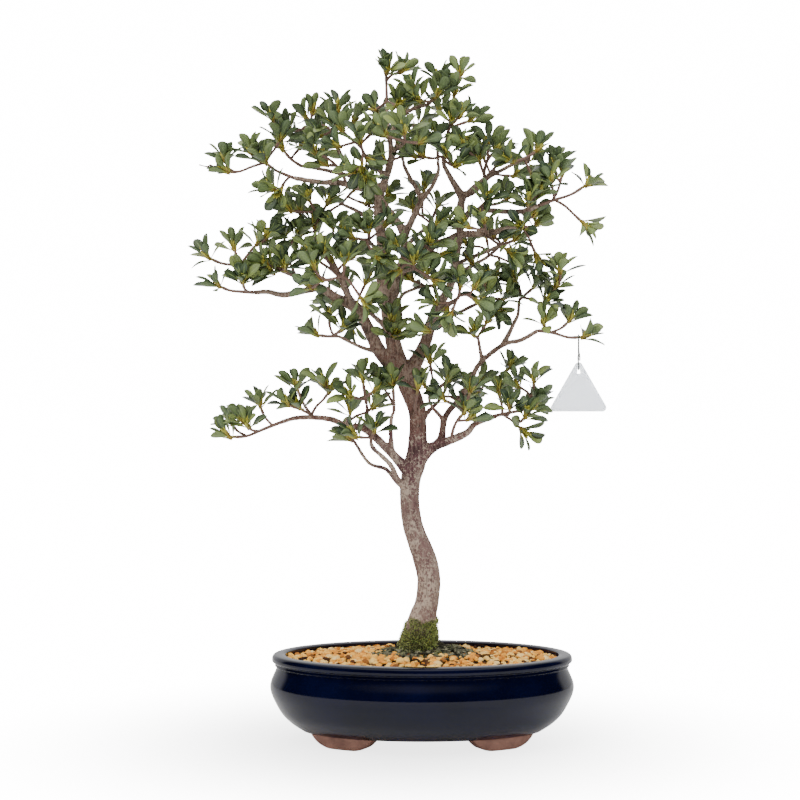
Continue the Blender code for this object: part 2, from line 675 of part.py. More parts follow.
class Twig:
    """One twig of a shoot: its run of wood, and the axis of the whorl of leaves at its end."""

    def __init__(self, route, radius, seed):
        straight = unit(route[-1] - route[-2])
        lift = 0.75 if straight[2] > -0.5 else 0.1
        self.axis = unit(straight + UP * lift)
        self.seed = seed
        hub = [route[-1] + self.axis * HUB_LENGTH]
        self.run = Run(route + hub, [mix(radius, TIP_RADIUS, k / (len(route) - 1)) for k in range(len(route))])
        self.run.radii[-1] = HUB_RADIUS
        self.run.radii.append(HUB_RADIUS)

    def woody_part(self):
        """The stretch that side twigs may grow from, clear of its foot and of the hub."""
        points, radii = self.run.points, self.run.radii
        return Run([mix(points[0], points[1], 0.4)] + points[1:-1], [radii[0]] + radii[1:-1])


def grow_shoots(runs):
    """Every shoot as a list of twigs, the stem first, each keeping clear of the wood and of those before it."""
    obstacles = Obstacles()
    for run in runs.values():
        obstacles.add(run)
    shoots = {}
    seed = 0
    for name, limb, buds in SHOOTS:
        twigs = []
        for bud in buds:
            end = np.array(bud)
            options = [twig.woody_part() for twig in twigs] or [runs[limb]]
            places = [run.leaving_place(end) for run in options]
            place, way, wide = min(places, key=lambda p: np.linalg.norm(end - p[0]))
            radius = TWIG_RADIUS if twigs else STEM_RADIUS
            skipped = wide + (1.5 if twigs else 3.0)
            seed += 1
            twigs.append(Twig(twig_route(place, way, end, skipped, radius, obstacles), radius, seed))
        for twig in twigs:
            obstacles.add(twig.run)
        shoots[name] = twigs
    return shoots


def leaf_corners(root, out, side, over, length, width, pitch, spread=0.0):
    """Corners of a slim blade: its shoulders at about half way, and its blunt, slightly drooping end."""
    lift = math.radians(pitch)
    along = math.cos(lift) * out + math.sin(lift) * over
    face = unit(math.cos(lift) * over - math.sin(lift) * out)
    middle = root + along * length * 0.56
    tip = root + along * (length + spread) - face * length * 0.10
    half = width / 2 + spread
    thick = LEAF_THICKNESS / 2 + spread
    shoulders = [
        middle - side * half - face * thick,
        middle + side * half - face * thick,
        middle + side * half + face * thick,
        middle - side * half + face * thick,
    ]
    end = [tip - side * half * 0.5, tip + side * half * 0.5]
    return shoulders, end


def add_leaf(skin, root_ring, shoulders, end):
    middle = skin.ring(shoulders)
    tip = skin.ring(end)
    skin.wall(root_ring, middle)
    skin.faces.append((middle[0], middle[1], tip[1], tip[0]))
    skin.faces.append((middle[1], middle[2], tip[1]))
    skin.faces.append((middle[2], middle[3], tip[0], tip[1]))
    skin.faces.append((middle[3], middle[0], tip[0]))


def leaf_is_clear(root, shoulders, end, trees):
    """Whether a blade, without its first quarter, keeps off everything in the trees."""
    skin = Skin()
    start = [mix(root, corner, 0.3) for corner in shoulders]
    ring = skin.ring(start)
    skin.start_cap(ring)
    add_leaf(skin, ring, shoulders, end)
    blade = skin.tree()
    return not any(tree.overlap(blade) for tree in trees)


def whorl_choice(low, top, axis, seed, trees):
    """Leaves for the three sides of a hub, each pitched up or down if something is in its way."""
    dice = random.Random(seed)
    chosen = []
    for i in range(3):
        after = (i + 1) % 3
        side = unit(low[after] - low[i])
        out = np.cross(side, axis)
        root = (low[i] + low[after] + top[i] + top[after]) / 4
        length = dice.uniform(*LEAF_LENGTH)
        width = dice.uniform(*LEAF_WIDTH)
        pitch = dice.uniform(*LEAF_LIFT)
        leaf = None
        for scale in (1.0, 0.75):
            for turn in (0.0, 14.0, -16.0, 30.0, -32.0, 46.0):
                shape = (root, out, side, axis, length * scale, width * scale, pitch + turn)
                if leaf_is_clear(root, *leaf_corners(*shape, LEAF_CLEARANCE), trees):
                    leaf = leaf_corners(*shape)
                    break
            if leaf:
                break
        chosen.append(leaf)
    return chosen


def grow_twig(twig, others):
    """The skin of one twig, with its hub, its bud and the whorl with the most leaves."""
    route, radii = twig.run.points, twig.run.radii
    first_side = sideways(unit(route[1] - route[0]), np.array([0.2, 0.1, 1.0]))
    dice = random.Random(twig.seed * 7)
    best = None
    for spin in range(5):
        turn = dice.random() * 2 * math.pi
        way = unit(route[1] - route[0])
        side = math.cos(turn) * first_side + math.sin(turn) * np.cross(way, first_side)
        skin = Skin()
        rings, side = add_tube(skin, route, radii, 3, side, last=twig.axis)
        low = [skin.points[k] for k in rings[-2]]
        top = [skin.points[k] for k in rings[-1]]
        leaves = whorl_choice(low, top, twig.axis, twig.seed, others)
        count = sum(1 for leaf in leaves if leaf)
        if best is None or count > best[0]:
            best = (count, skin, rings, leaves)
        if count == 3:
            break
    _, skin, rings, leaves = best
    del skin.faces[-3:]
    for i, leaf in enumerate(leaves):
        after = (i + 1) % 3
        root_ring = [rings[-2][i], rings[-2][after], rings[-1][after], rings[-1][i]]
        if leaf:
            add_leaf(skin, root_ring, *leaf)
        else:
            skin.faces.append(tuple(root_ring))
    skin.fan(rings[-1], route[-1] + twig.axis * BUD_LENGTH)
    return skin


def start_off_wood(twig, wood):
    """Where a stem begins: along its own line, as near to the wood as the seating gap allows."""
    route = twig.run.points
    radius = twig.run.radii[0]
    start, onward = route[0], unit(route[1] - route[0])
    reach = np.linalg.norm(route[1] - route[0])
    best = mix(route[0], route[1], 0.9)
    steps = int(reach / 0.1)
    for k in range(steps, -1, -1):
        centre = start + onward * k * 0.1
        side = sideways(onward, UP if abs(onward[2]) < 0.9 else np.array([1.0, 0.0, 0.0]))
        corners = circle(centre, side, onward, radius, 8)
        gap = min(wood.find_nearest(tuple(corner))[3] for corner in corners + [centre])
        if gap < SEAT_GAP:
            break
        best = centre
    return best


def build_wood():
    """Roots, trunk and limbs, grown as one piece."""
    runs = {"trunk": Run([row[:3] for row in TRUNK], [row[3] for row in TRUNK])}
    skin = Skin()
    rings, _ = add_tube(skin, runs["trunk"].points, runs["trunk"].radii, TRUNK_SIDES, np.array([1.0, 0.0, 0.0]))
    skin.end_cap(rings[-1])
    wood = make_object("wood", skin, "wood")
    limbs = []
    for name, _, start, end, route in LIMBS:
        count = len(route) - 1
        runs[name] = Run(route, [mix(start, end, (k / count) ** 0.8) for k in range(count + 1)])
        skin = Skin()
        sides = 6 if start > 5.5 else 5 if start > STOUT_LIMB else 4
        rings, _ = add_tube(skin, runs[name].points, runs[name].radii, sides, np.array([0.1, 0.2, 1.0]))
        skin.end_cap(rings[-1])
        limbs.append(make_object(name, skin, None))
    return fuse(wood, limbs), runs


def tree_of(body):
    corners = [tuple(v.co / MM) for v in body.data.vertices]
    return BVHTree.FromPolygons(corners, [tuple(face.vertices) for face in body.data.polygons])


def passes_near(twig, spot):
    return min(np.linalg.norm(point - spot) for point in twig.run.points) < 45.0


def build_shoots(shoots, wood, others):
    """Each leafy shoot as one solid, its leaves kept clear of all that was placed before it."""
    wood_tree = tree_of(wood)
    stems = []
    for twigs in shoots.values():
        twigs[0].run.points[0] = start_off_wood(twigs[0], wood_tree)
        for twig in twigs:
            skin = Skin()
            rings, _ = add_tube(skin, twig.run.points, twig.run.radii, 3, np.array([0.1, 0.2, 1.0]))
            skin.end_cap(rings[-1])
            stems.append((twig, skin.tree()))
    placed = []
    for name, twigs in shoots.items():
        bodies = []
        for twig in twigs:
            here = twig.run.points[-1]
            near = [tree for spot, tree in placed if np.linalg.norm(spot - here) < 62.0]
            near += [tree for other, tree in stems if other is not twig and passes_near(other, here)]
            skin = grow_twig(twig, near + [wood_tree] + others)
            placed.append((here, skin.tree()))
            bodies.append(make_object(name if not bodies else name + "_twig", skin, None))
        bodies[0].data.materials.append(material(name, "leaf"))
        if len(bodies) > 1:
            fuse(bodies[0], bodies[1:])


def oval(inset, height, sides=POT_SIDES):
    """Points round the pot at a distance in from its rim; the sides close in a little faster than the ends."""
    turns = [2 * math.pi * k / sides for k in range(sides)]
    return [oval_point(inset, height, turn) for turn in turns]


def oval_point(inset, height, turn):
    across = (RIM_HALF_LENGTH - inset) * math.cos(turn)
    deep = (RIM_HALF_DEPTH - inset * DEPTH_CLOSING) * math.sin(turn)
    return np.array([POT_CENTRE[0] + across, POT_CENTRE[1] + deep, height])


def build_pot():
    """The glazed bowl with its lip and bead, four feet below it and two drainage holes in its floor."""
    skin = Skin()
    rings = [skin.ring(oval(inset, height)) for inset, height in POT_PROFILE]
    skin.start_cap(rings[0])
    for lower, upper in zip(rings[:-1], rings[1:]):
        skin.wall(lower, upper)
    skin.end_cap(rings[-1])
    pot = make_object("pot", skin, "pot")
    fuse(pot, [build_foot(turn) for turn in FOOT_TURNS])
    drains = []
    for x in (-DRAIN_AT_X, DRAIN_AT_X):
        foot = np.array([POT_CENTRE[0] + x, 0.0, FOOT_HEIGHT - 5.0])
        skin = Skin()
        drain = [foot, foot + UP * (FLOOR_TOP - FOOT_HEIGHT + 10.0)]
        rings, _ = add_tube(skin, drain, [DRAIN_RADIUS] * 2, 16, np.array([1.0, 0.0, 0.0]))
        skin.end_cap(rings[-1])
        drains.append(make_object("drain", skin, None))
    fuse(pot, drains, "DIFFERENCE")
    return pot


def build_foot(mirror):
    """One curved foot under a quarter of the oval, deepest over its flat sole."""
    skin = Skin()
    rings = []
    for degrees, sole in FOOT_SHAPE:
        turn = math.radians(degrees)
        ring = []
        for inset, height in ((31.0, FOOT_HEIGHT + 3.0), (50.0, FOOT_HEIGHT + 3.0), (48.0, sole), (33.0, sole)):
            point = oval_point(inset, height, turn) - np.array([*POT_CENTRE, 0.0])
            ring.append(point * np.array([*mirror, 1.0]) + np.array([*POT_CENTRE, 0.0]))
        rings.append(ring if mirror[0] * mirror[1] > 0 else ring[::-1])
    placed = [skin.ring(ring) for ring in rings]
    skin.start_cap(placed[0])
    for lower, upper in zip(placed[:-1], placed[1:]):
        skin.wall(lower, upper)
    skin.end_cap(placed[-1])
    return make_object("foot", skin, None)


def hole_ring(height, radius):
    """The ten sided outline of the root ball with seating room, shared out over the soil's grid."""
    centre = np.array([TRUNK[0][0], TRUNK[0][1], height])
    corners = circle(centre, np.array([1.0, 0.0, 0.0]), UP, radius, TRUNK_SIDES)
    share = POT_SIDES // TRUNK_SIDES
    points = []
    for i, corner in enumerate(corners):
        points += [mix(corner, corners[(i + 1) % TRUNK_SIDES], k / share) for k in range(share)]
    return points


def build_soil():
    """Gritty soil filling the pot to just below its rim, with a plain hole for the root ball."""
    dice = random.Random(5)
    skin = Skin()
    rings = [skin.ring(oval(inset, height)) for inset, height in SOIL_SIDE]
    skin.start_cap(rings[0])
    hole = hole_ring(SOIL_MOUND_HEIGHT, ROOT_RADIUS + 0.45)
    outer = oval(*SOIL_SIDE[-1])
    for k in range(1, SOIL_RINGS):
        share = k / SOIL_RINGS
        ring = []
        for rim_point, hole_point in zip(outer, hole):
            point = mix(rim_point, hole_point, share)
            point[2] = mix(rim_point[2], hole_point[2], share ** 1.4) + dice.uniform(-0.5, 0.5) * SOIL_GRAIN
            ring.append(point)
        rings.append(skin.ring(ring))
    rings.append(skin.ring(hole))
    rings.append(skin.ring(hole_ring(TRUNK[1][2], TRUNK[1][3] + 0.4)))
    rings.append(skin.ring(hole_ring(ROOT_BALL_FOOT - 0.35, TRUNK[0][3] + 0.4)))
    for lower, upper in zip(rings[:-1], rings[1:]):
        skin.wall(lower, upper)
    skin.end_cap(rings[-1])
    soil = make_object("soil", skin, "soil")
    pockets = [
        block("pocket", x, SCREEN_SIDE + 0.7, SOIL_SIDE[0][1] - 2.0, FLOOR_TOP + SEAT_GAP + SCREEN_THICKNESS + 0.3)
        for x in (-DRAIN_AT_X, DRAIN_AT_X)
    ]
    return fuse(soil, pockets, "DIFFERENCE")


def block(name, x, side, low, high, y=0.0, colour=None):
    """An upright square block, placed from the middle of the pot."""
    half = side / 2
    corners = [(-half, -half), (half, -half), (half, half), (-half, half)]
    skin = Skin()
    base, top = [
        skin.ring([np.array([POT_CENTRE[0] + x + dx, y + dy, height]) for dx, dy in corners])
        for height in (low, high)
    ]
    skin.start_cap(base)
    skin.wall(base, top)
    skin.end_cap(top)
    return make_object(name, skin, colour)


def build_screen(name, x):
    """A square of plastic mesh that lies over a drainage hole."""
    low = FLOOR_TOP + SEAT_GAP
    screen = block(name, x, SCREEN_SIDE, low, low + SCREEN_THICKNESS, colour="screen")
    pitch = SCREEN_SIDE / 4
    holes = []
    for i in (-1, 0, 1):
        for j in (-1, 0, 1):
            holes.append(block("opening", x + i * pitch, SCREEN_HOLE, low - 2.0, low + 4.0, j * pitch))
    return fuse(screen, holes, "DIFFERENCE")


def point_on_stem(run, x):
    """Where a stem passes a given distance to the right."""
    for a, b in zip(run.points[:-1], run.points[1:]):
        if min(a[0], b[0]) <= x <= max(a[0], b[0]):
            return mix(a, b, (x - a[0]) / (b[0] - a[0]))
    raise ValueError("the stem doesn't reach the place where the tag hangs")


def build_tag(twig_point):
    """A blank triangular tag with rounded corners and a hole near its top."""
    top = twig_point - UP * TAG_HANGS_BELOW_TWIG
    tips = [
        (0.0, -TAG_CORNER),
        (-TAG_WIDTH / 2 + TAG_CORNER, -TAG_TALL + TAG_CORNER),
        (TAG_WIDTH / 2 - TAG_CORNER, -TAG_TALL + TAG_CORNER),
    ]
    outline = []
    for (x, z), first in zip(tips, (30.0, 150.0, 270.0)):
        for k in range(4):
            turn = math.radians(first + 40.0 * k)
            outline.append((x + TAG_CORNER * math.cos(turn), z + TAG_CORNER * math.sin(turn)))
    skin = Skin()
    front, back = [
        skin.ring([top + np.array([x, y, z]) for x, z in outline])
        for y in (-TAG_THICKNESS / 2, TAG_THICKNESS / 2)
    ]
    skin.end_cap(front)
    skin.wall(back, front)
    skin.start_cap(back)
    tag = make_object("hang_tag", skin, "tag")
    drill = Skin()
    middle = top - UP * TAG_HOLE_BELOW_TOP
    line = [middle - np.array([0.0, 4.0, 0.0]), middle + np.array([0.0, 4.0, 0.0])]
    rings, _ = add_tube(drill, line, [TAG_HOLE_RADIUS] * 2, 14, np.array([1.0, 0.0, 0.0]))
    drill.end_cap(rings[-1])
    return fuse(tag, [make_object("drill", drill, None)], "DIFFERENCE")


def build_cord(twig_point):
    """The cord: over the twig, through the tag's hole, its two ends lying side by side above the tag."""
    tag_top = -TAG_HANGS_BELOW_TWIG
    hang = tag_top - TAG_HOLE_BELOW_TOP + TAG_HOLE_RADIUS - CORD_DIAMETER / 2 - SEAT_GAP
    away = 2.5
    over = STEM_RADIUS + CORD_DIAMETER / 2 + SEAT_GAP
    spots = [
        (0.9, -away, tag_top + 1.5),
        (0.9, -away, tag_top + 6.0),
        (0.0, -away, tag_top + 12.0),
        (0.0, -away, -1.0),
        (0.0, -away * 0.7, over * 0.75),
        (0.0, 0.0, over + 0.1),
        (0.0, away * 0.7, over * 0.75),
        (0.0, away, -1.0),
        (0.0, away, tag_top + 4.0),
        (0.0, away, hang + 3.2),
        (0.0, away * 0.7, hang + 1.0),
        (0.0, 0.9, hang),
        (0.0, -0.9, hang),
        (0.0, -away * 0.7, hang + 1.0),
        (0.0, -away, hang + 3.2),
        (-0.9, -away, tag_top + 3.0),
        (-0.9, -away, tag_top + 6.5),
    ]
    line = bpy.data.curves.new("tag_string", "CURVE")
    line.dimensions = "3D"
    line.bevel_depth = CORD_DIAMETER / 2 * MM
    line.bevel_resolution = 1
    line.use_fill_caps = True
    spline = line.splines.new("POLY")
    spline.points.add(len(spots) - 1)
    for point, spot in zip(spline.points, spots):
        point.co = (*((twig_point + np.array(spot)) * MM), 1.0)
    cord = bpy.data.objects.new("tag_string", line)
    bpy.context.scene.collection.objects.link(cord)
    line.materials.append(material("tag_string", "cord"))
    return cord


def tag_guard(twig_point):
    """The space that the tag and its cord take, as a slim box that leaves keep out of."""
    half = np.array([TAG_WIDTH / 2, 4.5, 0.0])
    skin = Skin()
    low = twig_point - UP * (TAG_HANGS_BELOW_TWIG + TAG_TALL + 1.0)
    corners = [(-1, -1), (1, -1), (1, 1), (-1, 1)]
    base = skin.ring([low + half * np.array([x, y, 0.0]) for x, y in corners])
    neck = skin.ring([twig_point - UP * 6.0 + np.array([4.5 * x, 4.5 * y, 0.0]) for x, y in corners])
    top = skin.ring([twig_point + UP * 4.5 + np.array([2.5 * x, 4.5 * y, 0.0]) for x, y in corners])
    skin.start_cap(base)
    skin.wall(base, neck)
    skin.wall(neck, top)
    skin.end_cap(top)
    return skin.tree()


def main():
    for leftover in list(bpy.data.objects):
        bpy.data.objects.remove(leftover)
    wood, runs = build_wood()
    shoots = grow_shoots(runs)
    pot = build_pot()
    soil = build_soil()
    build_screen("drain_screen_left", -DRAIN_AT_X)
    build_screen("drain_screen_right", DRAIN_AT_X)
    hanging = point_on_stem(shoots[TAG_SHOOT][0].run, TAG_AT_X)
    build_tag(hanging)
    build_cord(hanging)
    build_shoots(shoots, wood, [tree_of(pot), tree_of(soil), tag_guard(hanging)])


main()
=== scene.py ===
"""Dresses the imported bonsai: bark, moss, leaf whorls, gritty soil, glazed pot, blank tag and its cord.

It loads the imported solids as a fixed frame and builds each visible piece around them. Lengths are in
millimetres while shapes are worked out, because a leaf or a twig is easiest to think of that way, and are
turned into metres when a mesh or curve is made. The tree's lines repeat the ones that its solids follow.
"""

import random
from functools import cache
from itertools import pairwise
from math import cos, exp, hypot, pi, radians, sin

import bpy
import numpy as np
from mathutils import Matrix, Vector, noise


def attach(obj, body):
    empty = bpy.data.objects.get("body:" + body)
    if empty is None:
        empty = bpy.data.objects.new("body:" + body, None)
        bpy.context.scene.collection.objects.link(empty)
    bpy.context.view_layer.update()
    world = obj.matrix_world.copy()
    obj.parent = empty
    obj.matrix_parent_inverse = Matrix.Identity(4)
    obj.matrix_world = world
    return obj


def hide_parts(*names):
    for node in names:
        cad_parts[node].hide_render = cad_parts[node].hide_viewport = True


bl_info = {
    "name": "Azalea bonsai",
    "version": (1, 0, 0),
    "blender": (4, 5, 0),
    "location": "3D View > Sidebar > Bonsai",
    "description": "Dresses a packed azalea bonsai with bark, leaves, moss, soil, glaze and a tag",
    "category": "Object",
}

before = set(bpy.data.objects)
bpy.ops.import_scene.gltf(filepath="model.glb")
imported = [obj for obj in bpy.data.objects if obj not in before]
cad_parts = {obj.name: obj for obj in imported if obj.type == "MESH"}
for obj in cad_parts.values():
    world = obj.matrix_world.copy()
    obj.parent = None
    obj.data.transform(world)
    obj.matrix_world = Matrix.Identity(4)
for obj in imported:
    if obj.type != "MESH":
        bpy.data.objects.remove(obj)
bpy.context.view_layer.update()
MM = 0.001
UP = np.array([0.0, 0.0, 1.0])


def vec(*numbers):
    return np.array(numbers, float)


def rows(text):
    """Rows of numbers from a table with a comma between each two rows."""
    return [vec(*row.split()) for row in text.split(",")]


def entries(text):
    """The words before the colon and the rows after it, for each entry of a table parted by semicolons."""
    for entry in text.split(";"):
        words, numbers = entry.split(":")
        yield words.split(), rows(numbers)


# The camera stands level in front of the tree, and one millimetre at the trunk is one pixel.
CAMERA_DISTANCE = 1850.0
CAMERA_HEIGHT = 341.0
PICTURE_WIDTH = 800.0
SENSOR_WIDTH = 36.0

# The pot stands off the tree's middle, so that the whole plant is centred over the origin.
POT_CENTRE = vec(22, 0)
RIM_HALF_LENGTH = 150.0
RIM_HALF_DEPTH = 109.0
DEPTH_CLOSING = 1.2
FOOT_HEIGHT = 12.5
FLOOR_TOP = 20.0
SEAT_GAP = 0.3

# Distance inwards from the rim's outer edge, and height, up the outside, over the lip and down the inside.
POT_PROFILE = [
    (30.0, FOOT_HEIGHT), (19.0, 20.0), (10.0, 29.0), (3.0, 41.0), (-1.2, 51.5), (-1.0, 60.5), (4.7, 74.5),
    (3.0, 76.5), (3.6, 79.2), (1.0, 80.3), (0.1, 82.0), (0.5, 85.4), (2.2, 87.4), (5.5, 88.0), (10.0, 88.0),
    (12.6, 87.3), (13.5, 85.4), (12.5, 72.0), (8.5, 60.0), (9.5, 44.0), (20.0, 27.0), (36.0, FLOOR_TOP),
]
# The soil's side from its surface down, a little inside the pot's wall.
SOIL_SIDE = [(12.9, 72.0), (8.9, 60.0), (9.9, 44.0), (20.4, 27.3), (36.3, FLOOR_TOP + SEAT_GAP)]
SOIL_MOUND_HEIGHT = 91.5
SOIL_EDGE = 82.6
SOIL_INSET = 13.5
# Points put in between each two of the pot's profile, and facets round the pot and the soil.
PROFILE_STEPS = 5
POT_FACETS = 160
SOIL_FACETS = 96

# The feet's soles as they curve up to the bowl, in degrees round the oval and height.
FOOT_CURVE = [
    (18.5, 12.4), (23.0, 8.2), (29.0, 3.8), (36.5, 0.5), (42.0, 0.0), (52.0, 0.0), (57.0, 0.8), (61.5, 4.0),
    (66.5, 12.4),
]
FOOT_MIRRORS = [(1.0, 1.0), (-1.0, 1.0), (-1.0, -1.0), (1.0, -1.0)]
DRAIN_AT_X = 46.0
DRAIN_RADIUS = 10.0
# Below this height, the bowl's level faces are bare clay.
CLAY_BELOW = 22.0

# The trunk's line as x, depth, height and radius, from the root ball up to where the two leaders part.
TRUNK = rows("""
16 0 52 17.5, 16 0 87 19.5, 19 0 101 17.5, 22.7 0 123.5 13.3, 27.2 1 140 11.3, 28.9 2 160 11.3,
  26.5 3 175.5 11.4, 21.4 4 191 11, 17.5 5 201 10.3, 12.3 5 218 9.6, 9.5 5 243 9.4, 11 3 263 9.7,
  14.5 1 275 10.4, 17 0 288 10, 17.6 -2 301 9, 18 -2 320 8.1, 16.4 -2 333 8.5, 12 -1 345.5 9, 6.5 0 358 9,
  1 0 374 8.6, -5 0 391 7.6, -9 0 411 7.2, -11.5 0 429 7.2, -12 0 444 7.6, -11.5 0 449.5 5
""")

# Each limb: its name, its radius where it starts and where it ends, and its route as x, depth and height.
# Depth is positive away from the front. Routes read as seen from the front.
LIMBS = """
leader 7.2 1.5: -12 0 441, -18 -3 474.8, -17.5 0 493, -21.5 4 529.4, -20 4 545.4, -10 0 577, -9 -2 592.7,
  -12 -2 612.7, -13 0 635;
low_left 4.8 1.7: 11 0 266, -8.5 -10 288.3, -34.6 -20 312.3, -51.4 -22 314.3, -69.2 -20 322.2,
  -100.3 -12 323.6, -120.5 -8 318.1;
low_left_riser 2 1.4: -34.6 -20 312.3, -32.1 -22 324.2, -33.1 -24 337.1;
low_left_under 3.2 1.5: 9 0 251, -2 -8 261.3, -9.9 -20 277.7, -26.5 -34 293.9, -28.4 -38 302.8;
low_left_back 2.6 1.4: 9 2 252.9, -2 8 257.6, -14.1 18 271.3, -31.5 28 277, -46.9 36 299.2;
low_inner 2.2 1.5: -8.5 -10 288.3, -8.9 -18 319.2, -5.9 -20 330.1;
low_right 6.2 2: 16 0 278, 25 -2 288.1, 35.9 -6 295.6, 55.6 -14 303.3, 67.4 -16 309.3, 74.4 -16 317.2,
  96.4 -12 325.6;
low_right_riser 3.4 1.8: 35.9 -6 295.6, 41.4 -4 303.1, 45.1 4 324, 61.5 16 344, 71.7 18 361.2,
  80.6 14 378.3, 103.5 0 396.5, 119.6 -6 400.3, 137.3 -10 410.1;
low_right_twig 1.8 1.2: 44.1 3 321, 30.8 -12 336, 28.7 -16 347.9;
low_back 3.4 1.6: 18 0 305, 21.3 24 316.7, 28.8 52 328.7, 39.6 78 338.9;
left 7 1.9: 2 0 370, -18.9 -8 387.8, -35.7 -14 419.9, -45.6 -16 432.2, -55.5 -16 439.1, -66.5 -14 444.2,
  -74.5 -12 450.8, -85.5 -10 451.9, -114.6 -6 445.7, -130.7 -4 448.8, -145.7 -4 448.3;
left_upper 2.6 1.6: -66.5 -14 444.2, -100.4 8 463, -117.9 14 471, -135 14 477, -150.8 10 475.7;
left_inner 3.2 1.7: -47.6 -16 433.7, -60.3 8 464.5, -71.5 14 486.1, -82.7 16 499.4;
left_front 2.8 1.5: -41.7 -15 427.3, -47.1 -34 436.2, -50.5 -54 446.8, -54.8 -70 457.4;
left_twig 2 1.4: -18.9 -8 387.8, -37.6 -18 393, -61.1 -26 404.1;
left_rear 3.6 1.7: -7 0 401, -14.2 26 414, -26.8 54 427.5, -41.7 80 439.1;
right_limb 6.6 2.6: -12 0 442, 4 -6 478.6, 5.5 -6 492.5, 5 -4 504.6, 22 -4 541.6;
crossing 3.4 3: 5 -4 504.6, -1 -6 516.4, -9 -6 527.4, -17 -4 537.6, -21 2 545.2;
upper_left 4 2: -20 4 548.4, -30 -2 550.3, -60.7 -10 557.3, -77.5 -12 557.1, -105.3 -12 561.6;
upper_left_rear 2.8 1.5: -19 4 549.4, -30.3 18 559.1, -45.7 30 567.6, -63.3 38 572.7, -81.7 40 577,
  -101 38 579.8;
fan_left 3.2 1.6: -18 4 551.5, -29 -2 557.8, -41.9 -4 565.5, -53.9 -4 577.5, -61.9 -2 591.7, -66 0 604;
fan_front 2.6 1.5: -14 2 564.2, -34.9 -56 579.6;
crown_front 2.6 1.5: -10 0 578, -5.9 -24 585.8, 3.9 -62 589.4;
crown_rear 2.8 1.5: -11 0 575, 2.1 70 620.2;
apex_right 2.6 1.5: -10.5 -2 604.7, -1 -4 621.4, 13 -4 631.4, 27.9 -4 635.9;
inner_left_rise 2.2 1.4: 22 -4 541.6, 6 8 572, 3 10 582.3;
inner_right_rise 2.2 1.4: 22 -4 541.6, 30.9 -8 552.1, 37.8 -10 566.8, 37.8 -10 579.7;
right_main 6.6 3.2: 5 0 360, 21.1 6 389.2, 27.1 10 403.3, 31.2 12 419.5, 37.2 12 434.6, 46.2 10 447.6,
  52.2 8 462.5, 60.1 2 511.2, 61.6 2 545.2;
right_high_left 3 1.6: 61.6 2 545.2, 48.2 6 568.7, 43.6 6 581.8, 48.1 2 608.3;
right_high 2.8 1.6: 61.6 2 545.2, 75.9 -2 550.3, 87.2 -6 562.3, 98.6 -8 568.5, 122.5 -8 581;
right_high_rear 2.8 1.5: 60.1 2 535.2, 69 26 551.9, 91.3 70 574.5;
right_long 5 2.3: 4 -6 477.6, 29.7 -18 492.5, 46.5 -20 498.3, 60.4 -18 504.9, 88.3 -14 506.7,
  117.3 -11 514;
right_arm 3.2 1.9: 59.6 2 513.2, 65.7 -8 523.2, 74.4 -16 529.4, 109.9 -18 527.2, 125.8 -18 528.7,
  136.7 -18 533.6;
right_drop 2.2 1.4: 54.2 6 473.4, 63.5 14 481.1, 89.1 24 491.9, 100.4 26 497.7;
right_rear 3.2 1.6: 51.2 8 459.5, 63.1 34 471.4, 89.9 84 489.4;
right_front 3 1.6: 33.2 12 425.5, 56.2 -58 439.8;
right_whorl 2.4 1.6: 31.2 12 419.5, 45.5 20 423.9, 57.7 22 428.5, 80.9 20 440.1;
right_low_rise 2.2 1.4: 103.5 0 396.5, 114.6 10 418.4, 118.8 12 427.6, 119.9 14 441.8;
right_low_inner 1.8 1.3: 82.6 13 380.3, 77.7 -8 402.7;
centre_shoot 2.4 1.5: -6 0 394, -1 -14 407.5, 0.5 -18 424.2, 1 -18 444, 21.7 -24 453.5;
centre_front 2.6 1.5: -3 -4 464.7, 2 -28 467.1, 12.5 -66 467.3;
leader_front 2.6 1.5: -18 -2 484.8, -29.9 -64 494.5;
leader_rear 2.8 1.5: -20 3 509.3, -30.5 30 523.9, -44.3 56 535.7, -58.4 78 544.2;
limb_rear 2.8 1.5: 5.5 -6 490.5, 13.2 24 504.1, 29.2 76 522.1
"""

